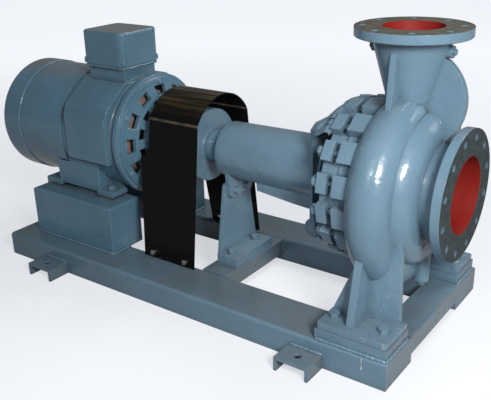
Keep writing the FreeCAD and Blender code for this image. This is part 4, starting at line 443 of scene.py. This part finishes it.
# %% Turned, plated and wound metals
def bare_metal(name, colour, second, rough, lines, stretch=(1, 1, 1), depth=0.00006, metallic=1.0):
    material, tree, shader = new_finish(name)
    place = place_on_piece(tree)
    stretched = add_node(tree, "Mapping")
    feed(tree, stretched, "Vector", place)
    feed(tree, stretched, "Scale", stretch)
    streaks = clouds(tree, stretched.outputs[0], lines, 4.0, 0.6)
    mottle = spread(tree, clouds(tree, place, 45.0, 4.0), 0.35, 0.7)
    # Painted shade darkens the metal where surfaces meet.
    feed(tree, shader, "Base Color", corner_shade(tree, blend_colours(tree, mottle, colour, second), 0.01))
    feed(tree, shader, "Metallic", metallic)
    feed(tree, shader, "Roughness", spread(tree, streaks, 0.3, 0.7, rough - 0.07, rough + 0.1))
    feed(tree, shader, "Normal", relief(tree, streaks, depth, 0.7, softened_edges(tree, 0.0006)))
    return material


along_turning = (6, 1, 1)
machined_steel = bare_metal("machined_steel", (0.42, 0.42, 0.41),
                            (0.30, 0.29, 0.27), 0.34, 300.0, along_turning)
shaft_steel = bare_metal("shaft_steel", (0.60, 0.60, 0.58), (0.46, 0.45, 0.43), 0.22, 260.0, along_turning)
zinc_steel = bare_metal("zinc_steel", (0.72, 0.72, 0.70), (0.50, 0.49, 0.46), 0.28, 400.0)
bearing_steel = bare_metal("bearing_steel", (0.66, 0.66, 0.67),
                           (0.58, 0.58, 0.60), 0.12, 300.0, along_turning)
bronze = bare_metal("bronze", (0.50, 0.31, 0.13), (0.38, 0.22, 0.09), 0.34, 260.0, along_turning)
copper = bare_metal("copper", (0.24, 0.31, 0.36), (0.44, 0.16, 0.07), 0.42, 500.0, (4, 1, 1), 0.0004, 0.2)
core_steel = bare_metal("core_steel", (0.16, 0.19, 0.22),
                        (0.13, 0.13, 0.14), 0.42, 900.0, (12, 0.2, 0.2), 0.0002)
cast_iron = bare_metal("cast_iron", (0.16, 0.15, 0.15),
                       (0.10, 0.09, 0.085), 0.58, 330.0, (1, 1, 1), 0.0005, 0.6)
print("bare metals ready")

# %% [markdown]
# ## Rubber, packing, gasket and plastic
# The soft and moulded pieces are dull. Packing is braided, which crossed waves show, and the
# gasket is pressed fibre sheet.

# %% Soft and moulded finishes
def dull(name, colour, second, rough, scale, depth):
    material, tree, shader = new_finish(name)
    place = place_on_piece(tree)
    grain = clouds(tree, place, scale, 3.0, 0.6)
    feed(tree, shader, "Base Color", blend_colours(tree, spread(tree, grain, 0.3, 0.7), colour, second))
    feed(tree, shader, "Roughness", spread(tree, grain, 0.3, 0.7, rough - 0.06, rough + 0.08))
    feed(tree, shader, "Normal", relief(tree, grain, depth))
    return material


def braided_packing():
    material = dull("packing", (0.30, 0.26, 0.20), (0.20, 0.17, 0.12), 0.8, 500.0, 0.0002)
    tree = material.node_tree
    shader = tree.nodes["Principled BSDF"]
    weave = add_node(tree, "TexWave", bands_direction="DIAGONAL")
    feed(tree, weave, "Vector", place_on_piece(tree))
    feed(tree, weave, "Scale", 130.0)
    under = shader.inputs["Normal"].links[0].from_socket
    feed(tree, shader, "Normal", relief(tree, weave.outputs["Fac"], 0.0006, 0.8, under))
    return material


rubber = dull("rubber", (0.020, 0.020, 0.020), (0.035, 0.033, 0.031), 0.62, 300.0, 0.0001)
packing = braided_packing()
gasket = dull("gasket", (0.22, 0.17, 0.11), (0.13, 0.10, 0.07), 0.75, 400.0, 0.00008)
black_plastic = dull("black_plastic", (0.018, 0.018, 0.019), (0.03, 0.03, 0.03), 0.42, 260.0, 0.00006)
block_plastic = dull("block_plastic", (0.13, 0.035, 0.018), (0.09, 0.025, 0.014), 0.36, 260.0, 0.00006)
print("dull finishes ready")

# %% [markdown]
# ## Give each piece its finish
# Castings get the grained enamel and plates the smooth one. Bolt heads were painted over with the
# rest, and only what turns or seals is bare.

# %% Assign the finishes
finish_of = {
    "skid": skid_enamel, "plate": plate_enamel, "bolt": bolt_enamel, "motor": motor_enamel,
    "sheet": sheet_enamel, "box": box_enamel, "cast": cast_enamel, "casing": casing_finish,
    "guard": black_finish, "machined": machined_steel, "shaft": shaft_steel, "zinc": zinc_steel,
    "bearing": bearing_steel,
    "bronze": bronze, "copper": copper, "core": core_steel, "iron": cast_iron, "rubber": rubber,
    "packing": packing, "gasket": gasket, "black": black_plastic, "block": block_plastic}
wears = {
    "skid": ["front_rail", "rear_rail", "cross_members", "anchor_lugs", "pump_pads"],
    "plate": ["bearing_pedestal", "pedestal_packer"],
    "bolt": ["pump_foot_bolts", "pedestal_bolts", "motor_foot_bolts", "plugs", "bearing_cover_screws",
             "joint_studs"],
    "cast": ["casing_cover", "gland", "bearing_bracket", "bearing_covers", "pump_coupling_half",
             "motor_coupling_half"],
    "motor": ["motor_frame", "drive_end_shield", "fan_end_shield", "motor_pedestals"],
    "sheet": ["air_shroud", "fan_cover"],
    "box": ["terminal_box", "terminal_box_lid"],
    "casing": ["volute_casing"],
    "guard": ["coupling_guard", "guard_feet"],
    "machined": ["motor_shims", "pump_keys", "motor_key", "coupling_pins"],
    "shaft": ["pump_shaft", "motor_shaft", "shaft_sleeve"],
    "zinc": ["gland_studs", "guard_screws"],
    "bearing": ["pump_bearing_outer_rings", "pump_bearing_inner_rings", "pump_bearing_balls",
                "motor_bearing_outer_rings", "motor_bearing_inner_rings", "motor_bearing_balls"],
    "bronze": ["wear_rings", "lantern_ring", "impeller_nut", "cable_glands"],
    "copper": ["stator_windings"],
    "core": ["stator_core", "rotor_core"],
    "iron": ["impeller"],
    "rubber": ["water_thrower", "coupling_bushes"],
    "packing": ["packing_rings"],
    "gasket": ["casing_gasket"],
    "black": ["cooling_fan"],
    "block": ["terminal_block"]}


def dress(node, material):
    mesh = frame["nodes"][node].data
    mesh.materials.clear()
    mesh.materials.append(material)


dressed = set()
for finish, nodes in wears.items():
    for node in nodes:
        dress(node, finish_of[finish])
        dressed.add(node)
print("dressed", len(dressed), "pieces; left bare:", sorted(set(frame["nodes"]) - dressed))

# %% [markdown]
# ## Weld beads
# The skid is welded up from folded plate, and each joint shows a rippled bead under the paint. A bead
# is a quarter of a round bar laid in a corner. We sweep rings of points along the corner and let two
# sine waves set their size, so that it looks hand-laid. The ends taper off.

# %% Sweep a bead along a corner
bead_leg = 0.0065
bead_step = 0.004
bead_sides = 5


def lay_bead(mesh, start, end, first_side, second_side):
    """first_side and second_side point out of the corner, along the two plates."""
    start, end, first_side, second_side = (Vector(v) for v in (start, end, first_side, second_side))
    steps = max(6, round((end - start).length / bead_step))
    rings = []
    for i in range(steps + 1):
        taper = min(1.0, 0.4 + 0.3 * min(i, steps - i))
        leg = bead_leg * taper * (1 + 0.12 * math.sin(i * math.pi / 2) + 0.08 * math.sin(i * 0.37))
        middle = start + (end - start) * (i / steps)
        ring = [mesh.verts.new(middle - (first_side + second_side) * 0.0006)]
        for j in range(bead_sides + 1):
            turn = math.pi / 2 * j / bead_sides
            out = first_side * math.cos(turn) + second_side * math.sin(turn)
            ring.append(mesh.verts.new(middle + out * leg))
        rings.append(ring)
    count = len(rings[0])
    for ring, after in zip(rings, rings[1:]):
        for j in range(count):
            k = (j + 1) % count
            mesh.faces.new((ring[j], ring[k], after[k], after[j]))
    mesh.faces.new(rings[0])
    mesh.faces.new(rings[-1])


print("bead leg", bead_leg * 1000, "mm")


# %% Turn a mesh into a piece
def make_piece(name, mesh, material, body="skid_and_housings", smooth=True):
    """Turn a finished bmesh into a piece that rides on a body."""
    bmesh.ops.recalc_face_normals(mesh, faces=mesh.faces)
    for face in mesh.faces:
        face.smooth = smooth
    data = bpy.data.meshes.new(name)
    mesh.to_mesh(data)
    mesh.free()
    data.materials.append(material)
    piece = bpy.data.objects.new(name, data)
    bpy.context.scene.collection.objects.link(piece)
    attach(piece, body)
    return piece


# %% Weld the skid
skid_low, skid_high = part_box("front_rail")
rail_inner, rail_outer = -skid_high.y, -skid_low.y
member_spans = [(-0.665, -0.575), (0.055, 0.145), (0.645, 0.735)]
member_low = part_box("cross_members")[0].z
lug_centres = (-0.440, 0.510)
lug_half = 0.050
lug_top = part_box("anchor_lugs")[1].z
pad_low, pad_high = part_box("pump_pads")
pad_inner = 0.169
motor_box_low, motor_box_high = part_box("motor_pedestals")
welds = bmesh.new()
for side in (-1, 1):
    inward, outward = (0, -side, 0), (0, side, 0)
    for span in member_spans:
        for x, away in zip(span, ((-1, 0, 0), (1, 0, 0))):
            if skid_low.x + 0.01 < x < skid_high.x - 0.01:
                lay_bead(welds, (x, side * rail_inner, member_low), (x, side * rail_inner, skid_top - 0.004),
                         away, inward)
    for centre in lug_centres:
        lay_bead(welds, (centre - lug_half, side * rail_outer, lug_top),
                 (centre + lug_half, side * rail_outer, lug_top), outward, (0, 0, 1))
    for low, high, inner in ((pad_low, pad_high, pad_inner), (motor_box_low, motor_box_high, rail_inner)):
        lay_bead(welds, (low.x, side * high.y, skid_top), (high.x, side * high.y, skid_top),
                 outward, (0, 0, 1))
        for x, away in ((low.x, (-1, 0, 0)), (high.x, (1, 0, 0))):
            lay_bead(welds, (x, side * inner, skid_top), (x, side * high.y, skid_top), away, (0, 0, 1))
print("weld bead points:", len(welds.verts))
make_piece("skid_welds", welds, skid_enamel)

# %% [markdown]
# ## Small screws and the drip plug
# The motor's end shield and the lid of its terminal box are held by small screws, and the drip hole
# under the stuffing box is stopped by a smooth round plug. All of them are turned or cold-formed
# shapes, so one helper stacks rings of points, with six corners for a hexagon and many for a round.

# %% Stack rings into a head
def add_head(mesh, place, axis, rings, sides):
    """rings is a list of radius and height above place; the last one is closed with a face."""
    turn = Vector(axis).to_track_quat("Z", "X").to_matrix()
    loops = []
    for radius, height in rings:
        loops.append([mesh.verts.new(Vector(place) + turn @ Vector(
            (radius * math.cos(2 * math.pi * i / sides), radius * math.sin(2 * math.pi * i / sides), height)))
            for i in range(sides)])
    for lower, upper in zip(loops, loops[1:]):
        for i in range(sides):
            k = (i + 1) % sides
            mesh.faces.new((lower[i], lower[k], upper[k], upper[i]))
    mesh.faces.new(loops[0])
    mesh.faces.new(loops[-1])


print("head helper ready")

# %% Screws of the end shield
shield_face_x = -0.2178
shield_screw_ring = 0.176
shield_screws = 6
washer_height = 0.0013
hex_head = [(0.0065, 0.0), (0.0065, 0.0042), (0.0054, 0.0053)]
washer_ring = [(0.0088, -0.0004), (0.0088, 0.0012), (0.0080, 0.0014)]
screws = bmesh.new()
for i in range(shield_screws):
    turn = 2 * math.pi * (i + 0.5) / shield_screws
    place = (shield_face_x, shield_screw_ring * math.cos(turn),
             shaft_height + shield_screw_ring * math.sin(turn))
    add_head(screws, place, (1, 0, 0), washer_ring, 20)
    add_head(screws, place, (1, 0, 0), [(r, h + washer_height) for r, h in hex_head], 6)
make_piece("shield_screws", screws, bolt_enamel, smooth=False)
print("shield screws", shield_screws)

# %% Screws of the box lid
lid_low, lid_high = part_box("terminal_box_lid")
ear_height = 0.014
ear_inset = 0.0070
ear_rings = [(0.0052, 0.0), (0.0052, ear_height - 0.0015), (0.0042, ear_height)]
ear_start = 0.004
dome_head = [(0.0038, -0.001), (0.0038, 0.0010), (0.0031, 0.0021), (0.0018, 0.0027)]
lid_screws = bmesh.new()
for x in (lid_low.x + ear_inset, lid_high.x - ear_inset):
    for y in (lid_low.y + ear_inset, lid_high.y - ear_inset):
        add_head(lid_screws, (x, y, lid_low.z + ear_start), (0, 0, 1), ear_rings, 20)
        add_head(lid_screws, (x, y, lid_low.z + ear_start + ear_height), (0, 0, 1), dome_head, 20)
make_piece("lid_screws", lid_screws, box_enamel, smooth=False)
print("one screw at each corner of the lid,", ear_inset * 1000, "mm in")

# %% Drip plug
drip_face = (0.408, -0.098, 0.276)
plug_rings = [(0.0220, -0.0005), (0.0220, 0.0030), (0.0205, 0.0046), (0.0150, 0.0058), (0.0060, 0.0064)]
drip_plug = bmesh.new()
add_head(drip_plug, drip_face, (0, -1, 0), plug_rings, 40)
make_piece("drip_plug", drip_plug, cast_enamel)
print("drip plug", 2 * plug_rings[0][0], "m across")

# %% [markdown]
# ## The fan cover's rolled edge
# The sheet of the fan cover is rolled over where it meets the shroud, which draws a thin bright line
# round the motor. A thin ring of round bar at that seam is all it takes. The ring wears the lighter
# plate enamel, not the motor's darker blue, so its bright line is partly a painted highlight.

# %% Rolled edge
seam_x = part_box("fan_cover")[1].x
seam_radius = 0.1900
roll_radius = 0.0016


def roll_ring(mesh, x, radius, thickness, around=96, about=8):
    loops = []
    for i in range(around):
        turn = 2 * math.pi * i / around
        out = Vector((0, math.cos(turn), math.sin(turn)))
        loops.append([mesh.verts.new(Vector((x, 0, shaft_height)) + out * (radius + thickness * math.cos(a))
                                     + Vector((thickness * math.sin(a), 0, 0)))
                      for a in (2 * math.pi * j / about for j in range(about))])
    for i in range(around):
        first, second = loops[i], loops[(i + 1) % around]
        for j in range(about):
            k = (j + 1) % about
            mesh.faces.new((first[j], first[k], second[k], second[j]))


rolled_edge = bmesh.new()
roll_ring(rolled_edge, seam_x, seam_radius, roll_radius)
# Lighter enamel than the motor's: partly a painted highlight.
make_piece("fan_cover_roll", rolled_edge, plate_enamel)
print("rolled edge at", round(seam_x, 3))

# %% [markdown]
# ## A run of pale paint
# One thin run of pale paint has dried on the front rail below the pump's pad. It is a flat, round-
# ended strip that stands a fraction of a millimetre proud, with a drop at its foot.

# %% Paint run
run_top = (0.668, skid_low.y, 0.072)
run_foot = 0.036
pale_paint = dull("pale_paint", (0.62, 0.66, 0.68), (0.42, 0.48, 0.52), 0.35, 240.0, 0.00008)
run_points = 14
run_proud = 0.0007
paint_run = bmesh.new()
left_side, right_side, crest_line = [], [], []
for i in range(run_points + 1):
    share = i / run_points
    z = run_top[2] + (run_foot - run_top[2]) * share
    half = 0.0011 + 0.0005 * math.sin(share * 9.0) + 0.0014 * math.exp(-((share - 0.94) / 0.07) ** 2)
    if i in (0, run_points):
        half = 0.0003
    left_side.append(paint_run.verts.new((run_top[0] - half, run_top[1] + 0.0002, z)))
    crest_line.append(paint_run.verts.new((run_top[0], run_top[1] - run_proud * (0.4 + half / 0.002), z)))
    right_side.append(paint_run.verts.new((run_top[0] + half, run_top[1] + 0.0002, z)))
for i in range(run_points):
    for first, second in ((left_side, crest_line), (crest_line, right_side), (right_side, left_side)):
        paint_run.faces.new((first[i], second[i], second[i + 1], first[i + 1]))
paint_run.faces.new((left_side[0], crest_line[0], right_side[0]))
paint_run.faces.new((left_side[-1], crest_line[-1], right_side[-1]))
make_piece("paint_run", paint_run, pale_paint)
print("paint run", round((run_top[2] - run_foot) * 1000), "mm long")

# %% [markdown]
# ## Floor and lamps
# A plain pale floor fills the whole picture. It looks pale to the camera and in reflections, and it
# still takes the shadow of the set. The main lamp stands on the right, near the camera. A small one
# in front draws sharp glints on the enamel, and two soft ones, in front and behind, open the shadows.

# %% Floor
floor_colour = (0.900, 0.925, 0.968)
floor_glow_near, floor_glow_far = 0.65, 0.90
floor_lit_share = 0.36
floor_in_gloss = 0.35
floor_shade = 0.20


def pale_floor():
    material, tree, shader = new_finish("pale_floor")
    place = place_on_piece(tree)
    distance = add_node(tree, "VectorMath", operation="LENGTH")
    feed(tree, distance, 0, place)
    glow = spread(tree, distance.outputs["Value"], 1.2, 4.0, floor_glow_near, floor_glow_far)
    lit = tuple(c * floor_lit_share for c in floor_colour)
    soft = blend_colours(tree, clouds(tree, place, 1.5), lit, tuple(c * 0.98 for c in lit))
    seen = add_node(tree, "LightPath")
    direct = sums(tree, "MAXIMUM", seen.outputs["Is Camera Ray"],
                  sums(tree, "MULTIPLY", seen.outputs["Is Glossy Ray"], floor_in_gloss))
    shade = tuple(c * floor_shade for c in floor_colour)
    feed(tree, shader, "Base Color", blend_colours(tree, direct, shade, soft))
    feed(tree, shader, "Roughness", 0.85)
    feed(tree, shader, "Specular IOR Level", 0.0)
    feed(tree, shader, "Emission Color", (*floor_colour, 1.0))
    feed(tree, shader, "Emission Strength", sums(tree, "MULTIPLY", direct, glow))
    return material


floor_mesh = bpy.data.meshes.new("floor")
reach = 30.0
floor_mesh.from_pydata([(-reach, -reach, 0), (reach, -reach, 0), (reach, reach, 0), (-reach, reach, 0)],
                       [], [(0, 1, 2, 3)])
floor_mesh.materials.append(pale_floor())
floor = bpy.data.objects.new("floor", floor_mesh)
bpy.context.scene.collection.objects.link(floor)
print("floor", 2 * reach, "m wide")

# %% Lamps and sky
def soft_lamp(name, place, aim, size, power, colour=(1, 1, 1)):
    data = bpy.data.lights.new(name, "AREA")
    data.shape = "DISK"
    data.size = size
    data.energy = power
    data.color = colour
    lamp = bpy.data.objects.new(name, data)
    lamp.location = place
    lamp.rotation_euler = (Vector(place) - Vector(aim)).to_track_quat("Z", "Y").to_euler()
    bpy.context.scene.collection.objects.link(lamp)
    return lamp


pump_middle = (0.66, -0.12, 0.36)
set_middle = (0.0, 0.0, 0.35)
key_place, key_size, key_power = (1.90, -1.35, 1.45), 0.6, 52.0
glint_place, glint_size, glint_power = (0.75, -2.35, 1.75), 0.14, 9.0
fill_place, fill_size, fill_power = (0.6, -3.0, 2.6), 1.6, 9.0
back_place, back_size, back_power = (0.9, 2.2, 3.4), 1.8, 60.0
warm_white, cool_white = (1.0, 0.985, 0.96), (0.96, 0.98, 1.0)
soft_lamp("key_lamp", key_place, pump_middle, key_size, key_power, warm_white)
soft_lamp("glint_lamp", glint_place, pump_middle, glint_size, glint_power)
soft_lamp("fill_lamp", fill_place, set_middle, fill_size, fill_power, cool_white)
soft_lamp("back_lamp", back_place, set_middle, back_size, back_power)
print("lamps set")

# %% Sky
sky_colour = (0.90, 0.94, 1.0, 1.0)
sky_strength = 0.19
world = bpy.data.worlds.new("sky")
world.use_nodes = True
bpy.context.scene.world = world
backdrop = world.node_tree.nodes["Background"]
backdrop.inputs["Color"].default_value = sky_colour
backdrop.inputs["Strength"].default_value = sky_strength
print("sky strength", sky_strength)
